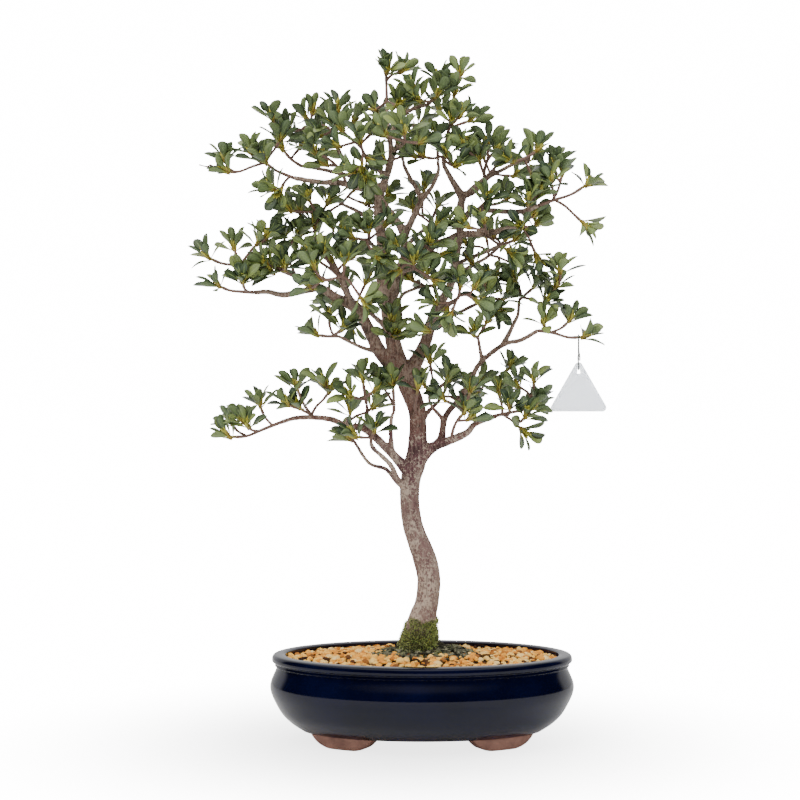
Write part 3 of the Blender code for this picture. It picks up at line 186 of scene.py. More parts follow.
# Each leafy shoot: its name, its limb, and the buds that its twigs end in, the stem's own first.
SHOOTS = """
apex leader: -14 0 668, -3 -20 631.8, -24.2 18 633.8;
apex_right apex_right: 34.9 -6 643, 19.7 -24 636.1, 41.4 16 651.7;
top_right right_high_left: 54.1 2 647.3, 51.3 -26 615.1, 69.3 8 621.2, 40.5 24 632.7;
crown_rear crown_rear: 4.2 84 642.1, -14.5 66 631, 20.8 78 628.6;
crown_front crown_front: 3.8 -78 597.7, -13.5 -60 596.4, 19.3 -64 589.1;
fan_left fan_left: -63 0 630, -68.2 -22 613.7, -47.4 14 621.1, -94.2 4 623.6, -110.3 22 614.2;
fan_front fan_front: -38.6 -66 589.8, -55.5 -50 602.7, -27.3 -48 601.1, -36.5 -74 566.6;
upper_left_end upper_left: -132.8 -16 576, -144.3 4 582.5, -171.3 -8 568, -117.3 -26 549, -119.7 -4 600.4,
  -127.2 -12 620.2;
upper_left_mid upper_left: -83.4 -34 584.4, -72.2 -20 573.5;
upper_left_rear upper_left_rear: -119.8 44 596.9, -103.1 58 600.9, -84.9 66 597.8;
inner_left inner_left_rise: -2 12 601.7, 15.2 26 598.6, 6.9 -16 586.9;
inner_right inner_right_rise: 36.7 -16 599.7, 53.9 -36 570.4, 23.6 -30 580.1;
right_high_mid right_high: 94.8 -4 589.5, 78.1 -22 578.1, 88.9 18 599.5;
right_high_end right_high: 135.9 -2 589.7, 110.4 -26 575.7, 130.4 -22 563.3;
right_high_rear right_high_rear: 106.9 88 595.6, 86.1 70 593.2, 118.7 76 574.2;
right_arm_end right_arm: 183.8 -22 553.4, 180.4 -26 515.5, 161.1 -10 564.8, 148.2 -34 554, 148 12 571.5;
right_arm_mid right_arm: 84.4 -34 535.4, 104.7 -6 540.4;
right_long_end right_long: 136.4 6 515.6, 125.5 -36 534.2, 119.8 -34 509.8, 135 -14 484.9;
right_long_mid right_long: 105.1 -32 488.4, 82 -44 515.7;
right_rear right_rear: 110.1 90 508.8, 89.7 80 512.1, 122.3 84 485.3, 101.6 68 473.7;
right_drop right_drop: 116.1 34 503.9, 96 40 508.5;
limb_rear limb_rear: 38.7 84 542.8, 14.6 74 537.6, 48.2 88 523.3, 24.8 64 558.3;
limb_front right_limb: 18.5 -46 487.3, 35.3 -38 511.4, 28.9 -66 492.4;
centre_front centre_front: 13.4 -82 472.9, -1.9 -70 485.3, 32.6 -74 455.2;
centre_shoot centre_shoot: 33.4 -30 454.1, 12 -6 460.6;
leader_front leader_front: -29.7 -78 502.9, -14.5 -64 509, -44.2 -74 496.5, -22.9 -84 478.5;
leader_rear leader_rear: -69.2 90 553.9, -47.8 72 559.2, -77.4 84 535.4, -35.2 66 544;
left_inner_end left_inner: -86.7 14 515.3, -60.7 -8 507.3, -73.4 10 538.1, -90.7 -6 541.3, -109.6 10 531;
left_inner_mid left_inner: -88 -20 487.4, -48.6 24 484.8;
left_front left_front: -52.6 -82 471.9, -75.9 -72 455.4, -36.4 -78 437.7, -67.7 -62 474.4;
left_upper_mid left_upper: -114.4 -10 471.3, -117.5 24 506.1, -101.8 34 486.6;
left_upper_end left_upper: -191.2 2 483.2, -167.8 20 493.6, -143.3 4 497.3, -154.7 -16 463.9;
left_end left: -180.2 -8 454.5, -154.5 -30 456.1;
left_twig left_twig: -81.8 -26 405.1, -70.3 -18 422.2, -56.7 -42 410.4;
left_rear left_rear: -56.6 88 456.2, -35.5 80 463.1, -71 82 441.3, -50.2 86 422.6;
low_left_end low_left: -168.7 -14 304.3, -150 -24 314.4, -168.4 4 316.9, -139.7 -4 335;
low_left_mid low_left: -102.6 -8 352.9, -98.4 -30 333.1, -70.2 -20 348.9;
low_left_riser low_left_riser: -36.6 -22 359.8, -48 -36 343.9, -25.5 -38 349.8;
low_inner low_inner: -6.9 -30 354.8, -18 -4 358;
low_left_under low_left_under: -25.3 -52 310.9, -42 -44 304.9;
low_left_back low_left_back: -51 38 300.2, -51.2 46 327.7, -28.9 58 332.7;
trunk_front trunk: 17.6 -40 351.8;
mid_front trunk: -7.8 -36 418.5;
low_right_twig low_right_twig: 46.4 -24 359.8, 29.8 -14 378.7;
low_right_front low_right: 62.6 -40 328.3, 68.8 -32 349.8, 43 -44 341;
low_right_end low_right: 134.6 -6 337, 119.6 -22 312.3, 108.2 -30 333.1, 98.6 -8 347, 133 -14 359.9,
  122.6 -36 324.3;
low_right_riser low_right_riser: 81 24 357.2, 109.3 22 372.4;
low_back low_back: 50.4 92 357.8, 26.1 84 355.6, 69.1 88 345.2;
right_low_end low_right_riser: 181.8 -12 403.6, 142 -26 415.9, 169.2 2 420.1;
right_low_rise right_low_rise: 134.7 10 454.6, 143.5 -6 437.7, 155 -12 453.3, 116.5 24 464.6;
right_low_inner right_low_inner: 73.1 -22 405.2, 86.5 -10 418.6;
right_whorl right_whorl: 86.5 10 461.6, 103.3 6 442.3, 83.5 -12 442.3;
right_front right_front: 57.9 -66 450, 49 -72 423.7, 72.6 -60 437.8, 34.8 -62 434.7
"""

# More buds with their whorls of leaves on the same twigs, where the photo shows leaves and the shoots above
# leave a gap. A scratch script that compared the photo with a render found these places.
EXTRA_BUDS = """
apex: 0 3.4 669.6, -12.9 -13.9 666.5;
apex_right: 39.5 24.3 665.2, 13.8 -24.5 646.9;
top_right: 60.3 8.8 666.5, 62.7 19.8 606.8, 58.4 -20.3 620.9;
fan_left: -87.8 16.4 609.4, -77.4 -15.3 602.8, -88.3 6.9 628.1;
fan_front: -31.9 -61.6 574, -44.1 -74.9 560.7, -34.5 -78 557.5, -59 -59.4 585.9;
upper_left_end: -174.6 -3.8 579.5, -124.3 -24.8 548.2, -147.9 -1.3 587.8;
inner_left: -14 -4.8 579.4;
inner_right: 15.7 -31 579.9, 45.8 -45.9 578.9;
right_high_mid: 62.8 -35.2 588.2;
right_high_end: 128.8 11.1 580.4;
right_arm_end: 156.1 1.2 576.1;
right_long_end: 134.5 -33.9 543.2, 131.5 -7.6 524.2;
right_long_mid: 67.1 -51.9 508.2;
right_rear: 73 78 501.5;
limb_front: 38.8 -57.7 481.5;
centre_front: -9.6 -78 475.1, 0 -71.6 466.9, 25.1 -67 460.5;
leader_front: -32.6 -78 502.9;
leader_rear: -13.4 60.4 552.7, -25.7 53.6 539.6;
left_inner_end: -66.9 -2.7 512.8, -100.8 15 529.5;
left_front: -73.1 -71.5 481.4, -82.4 -78 467.4, -35.4 -78 436.8, -85 -62.3 449.2;
left_upper_mid: -131.5 -20.5 474.5, -124.8 -18 466.8, -103.7 11.8 505, -113.5 -23.4 472.3;
left_upper_end: -133.8 -2.2 502.8, -133.8 11.4 488.9;
low_left_end: -155.4 -19 319.2;
low_left_mid: -74 -25.9 355.8, -109.9 -34.5 336.1;
mid_front: -6.9 -36.5 403.7;
low_right_front: 66.9 -29 321.3;
low_right_end: 129.7 -4.9 332, 118.9 -1.7 354;
low_right_riser: 79.6 36.9 350.2;
low_back: 61.5 78 338.9;
right_low_rise: 158.3 -20.1 467.6, 117.3 20.1 457.3;
right_whorl: 73.5 13.3 479, 93.1 1.5 434.1;
right_front: 29 -61.6 407.7, 45.4 -63.1 428.9, 71.4 -65.2 449.1
"""

# Bare twigs that run on past the leaves of a shoot.
DEAD_TWIGS = """
upper_left_end: -171 -8 568, -181 -7 571, -189 -6 575, -192 -6 573.5, -200 -5 575.5
"""

# Short dead stubs on the limbs: where each starts, and which way and how far it points.
STUBS = rows("""
40.2 -11.5 431 2 -5 5, 84 -16 322.5 0.5 -2 7.5, 76 -17 318 -2 -2 8.5, -51 -22 315 -2 -3 8,
  93.2 -8 566 1 -3 9, 62 2 548 -6 -3 5, -31 -8 399 -3 -5 6
""")

# Surface roots: the way each runs out from the trunk, in degrees, and its length and thickness.
SURFACE_ROOTS = rows("""
-172 34 6, -128 30 6.5, -84 24 6, -42 34 6.5, -6 50 7.5, 38 36 6, 92 28 6, 140 32 6.5
""")

STEM_RADIUS = 1.25
TWIG_RADIUS = 1.0
TIP_RADIUS = 0.85
HUB_RADIUS = 1.5
HUB_LENGTH = 2.2
TWIG_CLEARANCE = 0.8
# A twig's width in the scene as a share of its solid's, and what the trunk and limbs gain on their radius,
# because the bright room behind eats into the edges of the wood as the camera sees it.
TWIG_STOUTER = 1.5
EDGE_SPARE = 0.45
WOOD_VOXEL = 1.25

MOUND_CENTRE = vec(24, -3)
MOUND_HALF_LENGTH = 56.0
MOUND_HALF_DEPTH = 34.0
MOUND_FACETS = 72
ROOT_FIBRES = 260
MOSS_ON_TRUNK = 12500
MOSS_ON_MAT = 3200
# Each layer of grit: its name, how far below the soil's surface it lies, its grains and its lightest tone.
# The lower layer's dark tones are painted shade in the gaps between the grains above.
GRIT_LAYERS = [("grit_top", 0.4, 1200, 1.0), ("grit_below_shaded", 4.4, 1500, 0.12)]

TAG_SHOOT = "right_low_end"
TAG_AT_X = 177.5
TAG_HANGS_BELOW_TWIG = 25.0
TAG_WIDTH = 55.0
TAG_TALL = 49.0
TAG_THICKNESS = 1.6
TAG_CORNER = 4.0
TAG_SOFT_EDGE = 0.35
TAG_HOLE_RADIUS = 2.6
TAG_HOLE_BELOW_TOP = 9.0
CORD_DIAMETER = 1.3


def unit(vector):
    return vector / np.linalg.norm(vector)


def mix(start, end, share):
    return start + (end - start) * share


def headings(route, last=None):
    """The way that a route runs at each of its points."""
    steps = [unit(b - a) for a, b in pairwise(route)]
    ways = [steps[0]]
    ways += [unit(a + b) for a, b in pairwise(steps)]
    ways.append(steps[-1] if last is None else last)
    return ways


def sideways(way, near):
    """A direction square to the way, as close as can be to the one given."""
    return unit(near - way * np.dot(near, way))


def circle(centre, side, way, radius, sides):
    over = np.cross(way, side)
    turns = [2 * pi * k / sides for k in range(sides)]
    return [centre + radius * (cos(t) * side + sin(t) * over) for t in turns]


class Run:
    """A tapering stretch of wood: the points that it passes through, and its radius at each."""

    def __init__(self, points, radii):
        self.points = [np.array(p) for p in points]
        self.radii = list(radii)

    def places(self):
        """Evenly shared places along the run, with the way it runs and its radius there."""
        for i in range(len(self.points) - 1):
            start, end = self.points[i], self.points[i + 1]
            for share in (0.0, 0.25, 0.5, 0.75):
                radius = mix(self.radii[i], self.radii[i + 1], share)
                yield mix(start, end, share), unit(end - start), radius
        yield self.points[-1], unit(self.points[-1] - self.points[-2]), self.radii[-1]

    def leaving_place(self, target):
        """Where a twig to the target parts most naturally: near it, and leaning onwards."""
        def effort(place):
            step = target - place[0]
            length = np.linalg.norm(step)
            return length * (2.2 - 1.2 * np.dot(step, place[1]) / max(length, 0.01))
        return min(self.places(), key=effort)


class Obstacles:
    """Tapering segments of wood that later twigs keep clear of."""

    def __init__(self):
        self.starts, self.ends, self.radii = [], [], []

    def add(self, run):
        self.starts += run.points[:-1]
        self.ends += run.points[1:]
        self.radii += [max(a, b) for a, b in pairwise(run.radii)]

    def clearance(self, route, radius, skipped):
        """The least space beside a route, left out of account until the skipped distance from its start."""
        starts, ends = np.array(self.starts), np.array(self.ends)
        steps = ends - starts
        squares = np.maximum((steps * steps).sum(axis=1), 1e-6)
        least = 99.0
        for a, b in pairwise(route):
            for share in (0.2, 0.4, 0.6, 0.8, 1.0):
                point = mix(a, b, share)
                if np.linalg.norm(point - route[0]) < skipped:
                    continue
                along = np.clip(((point - starts) * steps).sum(axis=1) / squares, 0.0, 1.0)
                apart = np.linalg.norm(point - starts - steps * along[:, None], axis=1) - np.array(self.radii)
                least = min(least, apart.min() - radius)
        return least


def curve(start, end, start_way, end_way, count):
    """Points on a smooth curve that leaves and arrives along the ways given."""
    reach = np.linalg.norm(end - start)
    points = []
    for k in range(count + 1):
        t = k / count
        points.append(
            (2 * t**3 - 3 * t**2 + 1) * start
            + (t**3 - 2 * t**2 + t) * reach * start_way
            + (3 * t**2 - 2 * t**3) * end
            + (t**3 - t**2) * reach * end_way
        )
    return points


def twig_route(place, way, end, skipped, radius, obstacles):
    """A gently bent route from a place on the wood to a bud, bent further if something is in the way."""
    step = end - place
    length = np.linalg.norm(step)
    straight = step / length
    count = 1 if length < 11.0 else 2 if length < 27.0 else 3
    rise = UP * (0.5 if straight[2] > -0.5 else 0.0)
    across = sideways(straight, vec(0.3, 1.0, 0.2))
    over = np.cross(straight, across)
    best = None
    for bend in (0.0, 0.35, 0.7, 1.1):
        for push in (across, -across, over, -over):
            start_way = unit(0.5 * way + straight + bend * push)
            end_way = unit(straight + rise - bend * push)
            route = curve(place, end, start_way, end_way, count)
            space = obstacles.clearance(route, radius, skipped)
            if best is None or space > best[0] + 0.01:
                best = (space, route)
            if space > TWIG_CLEARANCE:
                return route
    return best[1]


class Twig:
    """One twig of a shoot: its run of wood, and the axis of the whorl of leaves at its end."""

    def __init__(self, route, radius, seed):
        straight = unit(route[-1] - route[-2])
        lift = 0.75 if straight[2] > -0.5 else 0.1
        self.axis = unit(straight + UP * lift)
        self.seed = seed
        hub = [route[-1] + self.axis * HUB_LENGTH]
        shares = [k / (len(route) - 1) for k in range(len(route))]
        self.run = Run(route + hub, [mix(radius, TIP_RADIUS, share) for share in shares])
        self.run.radii[-1] = HUB_RADIUS
        self.run.radii.append(HUB_RADIUS)

    def woody_part(self):
        """The stretch that side twigs may grow from, clear of its foot and of the hub."""
        points, radii = self.run.points, self.run.radii
        return Run([mix(points[0], points[1], 0.4)] + points[1:-1], [radii[0]] + radii[1:-1])


def wood_runs():
    """The lines that the trunk and the limbs follow, with their thickness, by name."""
    runs = {"trunk": Run([row[:3] for row in TRUNK], [row[3] for row in TRUNK])}
    for (name, start, end), route in entries(LIMBS):
        shares = [(k / (len(route) - 1)) ** 0.8 for k in range(len(route))]
        runs[name] = Run(route, [mix(float(start), float(end), share) for share in shares])
    return runs


@cache
def grow_shoots():
    """Every shoot's twigs, the stem first, each keeping clear of the wood and of those before it."""
    runs = wood_runs()
    obstacles = Obstacles()
    for run in runs.values():
        obstacles.add(run)
    shoots = {}
    seed = 0
    for (name, limb), buds in entries(SHOOTS):
        twigs = []
        for end in buds:
            options = [twig.woody_part() for twig in twigs] or [runs[limb]]
            places = [run.leaving_place(end) for run in options]
            place, way, wide = min(places, key=lambda p: np.linalg.norm(end - p[0]))
            radius = TWIG_RADIUS if twigs else STEM_RADIUS
            skipped = wide + (1.5 if twigs else 3.0)
            seed += 1
            twigs.append(Twig(twig_route(place, way, end, skipped, radius, obstacles), radius, seed))
        for twig in twigs:
            obstacles.add(twig.run)
        shoots[name] = twigs
    return shoots


class Wire:
    """A shader socket that adds maths nodes when it is used in an expression."""

    def __init__(self, tree, socket):
        self.tree = tree
        self.socket = socket

    def maths(self, operation, other):
        node = self.tree.nodes.new("ShaderNodeMath")
        node.operation = operation
        plug(self.tree, node.inputs[0], self)
        plug(self.tree, node.inputs[1], other)
        return Wire(self.tree, node.outputs[0])

    def __add__(self, other):
        return self.maths("ADD", other)

    def __sub__(self, other):
        return self.maths("SUBTRACT", other)

    def __rsub__(self, other):
        return (self * -1.0) + other

    def __mul__(self, other):
        return self.maths("MULTIPLY", other)

    __radd__ = __add__
    __rmul__ = __mul__

    def between(self, low, high):
        """A smooth step from 0 at the low value to 1 at the high one."""
        node = self.tree.nodes.new("ShaderNodeMapRange")
        node.interpolation_type = "SMOOTHSTEP"
        plug(self.tree, node.inputs["Value"], self)
        node.inputs["From Min"].default_value = low
        node.inputs["From Max"].default_value = high
        return Wire(self.tree, node.outputs["Result"])


def plug(tree, slot, value):
    """Feed a socket from a wire, a colour or a number."""
    if isinstance(value, Wire):
        tree.links.new(value.socket, slot)
    elif slot.type == "RGBA":
        slot.default_value = (*value, 1.0)
    else:
        slot.default_value = value


class Nodes:
    """A node tree under construction."""

    def __init__(self, tree):
        self.tree = tree

    def node(self, kind, settings=None, output=0, **sockets):
        """Any node: its type, its settings, and the values or wires of its sockets."""
        node = self.tree.nodes.new(kind)
        for name, value in (settings or {}).items():
            if name == "stops":
                self.set_stops(node.color_ramp, value)
            else:
                setattr(node, name, value)
        for name, value in sockets.items():
            plug(self.tree, node.inputs[name.replace("_", " ")], value)
        return None if output is None else Wire(self.tree, node.outputs[output])

    @staticmethod
    def set_stops(ramp, stops):
        while len(ramp.elements) < len(stops):
            ramp.elements.new(0.5)
        for element, (place, colour) in zip(ramp.elements, stops):
            element.position = place
            element.color = (*colour, 1.0)

    def place(self, stretch=(1.0, 1.0, 1.0)):
        """Object coordinates in metres, stretched."""
        spot = self.node("ShaderNodeTexCoord", output="Object")
        return self.node("ShaderNodeMapping", Vector=spot, Scale=stretch)

    def noise(self, scale, detail=4.0, stretch=(1.0, 1.0, 1.0), roughness=0.55):
        """Cloudy noise whose features repeat the given number of times in a metre."""
        spot = self.place(stretch)
        settings = {"Vector": spot, "Scale": scale, "Detail": detail, "Roughness": roughness}
        return self.node("ShaderNodeTexNoise", **settings)

    def blend(self, share, low, high):
        """A colour between two others."""
        node = self.tree.nodes.new("ShaderNodeMix")
        node.data_type = "RGBA"
        plug(self.tree, node.inputs[0], share)
        plug(self.tree, node.inputs[6], low)
        plug(self.tree, node.inputs[7], high)
        return Wire(self.tree, node.outputs[2])

    def mark(self, name):
        """A number kept at each corner of the mesh."""
        return self.node("ShaderNodeAttribute", {"attribute_name": name}, output="Fac")

    def along(self, axis, kind="Object"):
        """One coordinate in metres, or for the room how far a way points along that axis."""
        spot = self.node("ShaderNodeTexCoord", output=kind)
        return self.node("ShaderNodeSeparateXYZ", output=axis, Vector=spot)


class Finish(Nodes):
    """A material under construction."""

    def __init__(self, name, **fixed):
        self.material = bpy.data.materials.new(name)
        self.material.use_nodes = True
        super().__init__(self.material.node_tree)
        self.shader = self.tree.nodes["Principled BSDF"]
        for socket, value in fixed.items():
            self.feed(socket.replace("_", " "), value)

    def feed(self, socket, value):
        plug(self.tree, self.shader.inputs[socket], value)

    def colour(self, wire):
        self.feed("Base Color", wire)

    def roughness(self, wire):
        self.feed("Roughness", wire)

    def relief(self, wire, depth, strength=1.0):
        """Fine relief of the given depth in millimetres."""
        self.feed("Normal", self.node("ShaderNodeBump", Height=wire, Distance=depth * MM, Strength=strength))


class Skin:
    """Corner points, faces and per-corner marks gathered for one mesh."""

    def __init__(self):
        self.points = []
        self.faces = []
        self.marks = {}

    def ring(self, points, **marks):
        first = len(self.points)
        self.points.extend(points)
        for name, value in marks.items():
            column = self.marks.setdefault(name, [])
            column.extend([0.0] * (first - len(column)))
            column.extend([value] * len(points) if np.isscalar(value) else value)
        return list(range(first, first + len(points)))

    def walls(self, rings):
        """Faces between each ring and the next."""
        for lower, upper in pairwise(rings):
            for i in range(len(lower)):
                after = (i + 1) % len(lower)
                self.faces.append((lower[i], lower[after], upper[after], upper[i]))

    def closed(self, rings):
        """Faces between the rings, with the first and the last one filled."""
        self.faces.append(tuple(reversed(rings[0])))
        self.walls(rings)
        self.faces.append(tuple(rings[-1]))

    def fan(self, ring, apex, **marks):
        tip = self.ring([apex], **marks)[0]
        for i in range(len(ring)):
            self.faces.append((ring[i], ring[(i + 1) % len(ring)], tip))


def add_object(name, data):
    piece = bpy.data.objects.new(name, data)
    bpy.context.scene.collection.objects.link(piece)
    return piece


def add_mesh(name, points, faces):
    mesh = bpy.data.meshes.new(name)
    mesh.from_pydata([tuple(p * MM) for p in points], [], faces)
    return add_object(name, mesh)


def make_piece(name, skin, finishes, nodes=(), smooth=True):
    """A piece of the visible model from a skin; it rides on the one body there is."""
    piece = add_mesh(name, skin.points, skin.faces)
    mesh = piece.data
    for mark, values in skin.marks.items():
        values = values + [0.0] * (len(skin.points) - len(values))
        mesh.attributes.new(mark, "FLOAT", "POINT").data.foreach_set("value", np.array(values, np.float32))
    mesh.shade_smooth() if smooth else mesh.shade_flat()
    for finish in finishes:
        mesh.materials.append(finish)
    dress(piece, nodes)
    return piece


def dress(piece, nodes):
    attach(piece, "root")
    if nodes:
        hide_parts(*nodes)


def apply_modifier(piece, kind, **settings):
    step = piece.modifiers.new(kind.lower(), kind)
    for name, value in settings.items():
        setattr(step, name, value)
    bpy.context.view_layer.objects.active = piece
    bpy.ops.object.modifier_apply(modifier=step.name)


def smooth_route(points, steps):
    """More points on a smooth curve through the ones given; each holds its place and anything after it."""
    spots = [vec(*p) for p in points]
    spots = [2 * spots[0] - spots[1]] + spots + [2 * spots[-1] - spots[-2]]
    out = []
    for a, b, c, d in zip(spots, spots[1:], spots[2:], spots[3:]):
        for k in range(steps):
            t = k / steps
            square = (2 * a - 5 * b + 4 * c - d) * t**2
            out.append(0.5 * (2 * b + (c - a) * t + square + (3 * b - a - 3 * c + d) * t**3))
    out.append(spots[-2])
    return out


def add_tube(skin, route, radii, sides, side, last=None, marks=None):
    """A tapering tube along a route with a closed foot; gives back its last ring."""
    rings = []
    for k, (centre, way, radius) in enumerate(zip(route, headings(route, last), radii)):
        side = sideways(way, side)
        values = {name: column[k] for name, column in (marks or {}).items()}
        rings.append(skin.ring(circle(centre, side, way, radius, sides), **values))
    skin.faces.append(tuple(reversed(rings[0])))
    skin.walls(rings)
    return rings[-1], side


def add_rounded_tube(skin, route, radii, sides, side, steps=4, flare=0.0):
    """A smooth tube through a few points, swollen at its foot where it grows out, with a domed end."""
    stations = smooth_route([vec(*point, radius) for point, radius in zip(route, radii)], steps)
    line = [row[:3] for row in stations]
    gone = 0.0
    widths = []
    for k, row in enumerate(stations):
        gone += np.linalg.norm(line[k] - line[k - 1]) if k else 0.0
        widths.append(row[3] * (1.0 + flare * exp(-((gone / (3.4 * radii[0])) ** 2))))
    ring, _ = add_tube(skin, line, widths, sides, side)
    skin.fan(ring, line[-1] + unit(line[-1] - line[-2]) * widths[-1] * 0.8)


def root_route(turn, length, radius):
    """A surface root from inside the trunk's foot, down and along the soil."""
    way = vec(cos(radians(turn)), sin(radians(turn)) * 0.8, 0)
    foot = vec(16.5, 0, 0)
    drops = [(0.0, 102.0), (0.3, 97.0), (0.55, 92.0), (0.8, 89.0), (1.0, 84.0)]
    route = [foot + way * length * share + UP * height for share, height in drops]
    return route, [radius * share for share in (1.1, 1.0, 0.75, 0.55, 0.4)]


def build_wood_skin():
    skin = Skin()
    for name, run in wood_runs().items():
        stout = [radius + EDGE_SPARE for radius in run.radii]
        if name == "trunk":
            add_rounded_tube(skin, run.points, stout, 28, vec(1, 0, 0))
        else:
            add_rounded_tube(skin, run.points, stout, 14, vec(0.1, 0.2, 1), flare=0.30)
    for stub in STUBS:
        route = [stub[:3], stub[:3] + stub[3:]]
        add_rounded_tube(skin, route, [1.1, 1.5], 10, vec(0.3, 0.9, 0.1), 2)
    for root in SURFACE_ROOTS:
        route, radii = root_route(*root)
        add_rounded_tube(skin, route, radii, 12, UP)
    return skin


def roughen(piece, moves):
    """Move each corner of a mesh along its normal by what a function says for its place, in millimetres."""
    mesh = piece.data
    spots = np.zeros(len(mesh.vertices) * 3)
    mesh.vertices.foreach_get("co", spots)
    ways = np.zeros(len(mesh.vertices) * 3)
    mesh.vertices.foreach_get("normal", ways)
    spots, ways = spots.reshape(-1, 3), ways.reshape(-1, 3)
    shifts = np.array([moves(Vector(spot / MM)) for spot in spots])
    mesh.vertices.foreach_set("co", (spots + ways * shifts[:, None] * MM).ravel())
    mesh.update()


def bark_relief(spot):
    """Flakes and long furrows on the trunk, finer ones on the limbs above."""
    stout = 1.0 if spot.z < 440.0 and abs(spot.x - 10.0) < 38.0 else 0.55
    flakes = noise.noise(Vector((spot.x * 0.16, spot.y * 0.16, spot.z * 0.09)))
    furrows = noise.noise(Vector((spot.x * 0.55, spot.y * 0.55, spot.z * 0.16)))
    return stout * (0.42 * flakes + 0.22 * furrows)


def build_wood(tree):
    """Roots, trunk and limbs melted into one skin and given relief."""
    wood = make_piece("bark", build_wood_skin(), [bark_finish(tree)], ["wood"])
    apply_modifier(wood, "REMESH", mode="VOXEL", voxel_size=WOOD_VOXEL * MM, use_smooth_shade=True)
    apply_modifier(wood, "SMOOTH", factor=0.5, iterations=4)
    roughen(wood, bark_relief)


def bark_finish(tree):
    """Flaking bark: purple brown under pale scales low down, redder in the middle, fibrous and grey above."""
    finish = Finish("flaking_bark", Roughness=0.85, Specular_IOR_Level=0.25)
    up = finish.along("Z")
    speckle = finish.noise(500.0, 6.0, (1.0, 1.0, 0.8), 0.75)
    patches = finish.noise(70.0, 5.0, (1.0, 1.0, 0.75), 0.65)
    fibres = finish.noise(620.0, 5.0, (1.0, 1.0, 0.10), 0.6)
    broad = finish.noise(34.0, 2.0, (1.0, 1.0, 0.7))
    low = 1.0 - up.between(0.20, 0.29)
    high = up.between(0.34, 0.45)
    ground = finish.blend(broad.between(0.42, 0.58), tree.bark_purple, tree.bark_grey)
    ground = finish.blend(low * 0.45, ground, tree.bark_grey)
    ground = finish.blend(up.between(0.29, 0.325), ground, tree.bark_red)
    ground = finish.blend(high, ground, tree.bark_upper)
    shade = (patches - 0.15 * low).between(0.50, 0.64)
    ground = finish.blend(shade * 0.65, ground, tree.bark_dark)
    scales = (speckle * 1.6 + patches * -1.0 + broad * 0.3).between(0.455, 0.505)
    scales = scales * (1.0 - 0.5 * up.between(0.29, 0.34)) * (0.88 - 0.1 * low)
    ground = finish.blend(scales, ground, tree.bark_pale)
    streaks = fibres.between(0.48, 0.66) * (0.25 + 0.35 * high)
    ground = finish.blend(streaks, ground, tree.bark_pale)
    cracks = (1.0 - fibres.between(0.30, 0.44)) * 0.6
    ground = finish.blend(cracks, ground, tree.bark_dark)
    damp = 1.0 - up.between(0.100, 0.124)
    finish.colour(finish.blend(damp * 0.95, ground, (0.014, 0.014, 0.006)))
    finish.relief(scales * 0.7 + fibres * 0.4 + speckle * 0.5, 0.8, 0.8)
    return finish.material


# A leaf's half width at each share of its length, as a share of its full half width, and where its corners
# are across it. The bud scales have fewer.
LEAF_OUTLINE = [
    (0.0, 0.13), (0.14, 0.15), (0.28, 0.36), (0.43, 0.72), (0.57, 0.95), (0.71, 1.0),
    (0.84, 0.88), (0.94, 0.57), (1.0, 0.12),
]
LEAF_ACROSS = (-1.0, -0.5, 0.0, 0.5, 1.0)
SCALE_OUTLINE = [(0.0, 0.5), (0.25, 0.9), (0.55, 1.0), (0.82, 0.7), (1.0, 0.12)]
SCALE_ACROSS = (-1.0, 0.0, 1.0)
GOLDEN_TURN = radians(137.5)


def add_leaf(skin, root, out, over, length, width, pitch, droop, cup, tone, bud=0.0):
    """One thin leaf: folded a little along its midrib, arched along its length, closed below."""
    lift = radians(pitch)
    along = cos(lift) * out + sin(lift) * over
    face = unit(cos(lift) * over - sin(lift) * out)
    side = np.cross(along, face)
    outline, columns = (SCALE_OUTLINE, SCALE_ACROSS) if bud else (LEAF_OUTLINE, LEAF_ACROSS)
    stations = []
    for share, wide in outline:
        bend = share * share * droop
        middle = root + along * length * (share - 0.12 * bend * bend) - face * length * bend * 0.5
        layers = []
        for layer, under in ((0.19, 0.0), (-0.19, 1.0)):
            spots = columns if not under else columns[1:-1]
            line = []
            for across in spots:
                reach = across * wide * width / 2
                rise = cup * width * (across * across) * wide * 0.5
                thick = layer * (1.0 - abs(across)) * (1.0 + 1.4 * (1.0 - share) * (across == 0.0))
                line.append(middle + side * reach + face * (rise + thick))
            marks = {"tone": tone, "share": share, "under": under, "bud": bud}
            layers.append(skin.ring(line, rib=[1.0 - abs(a) for a in spots], **marks))
        stations.append(layers[0] + layers[1][::-1])
    skin.closed(stations[::-1])


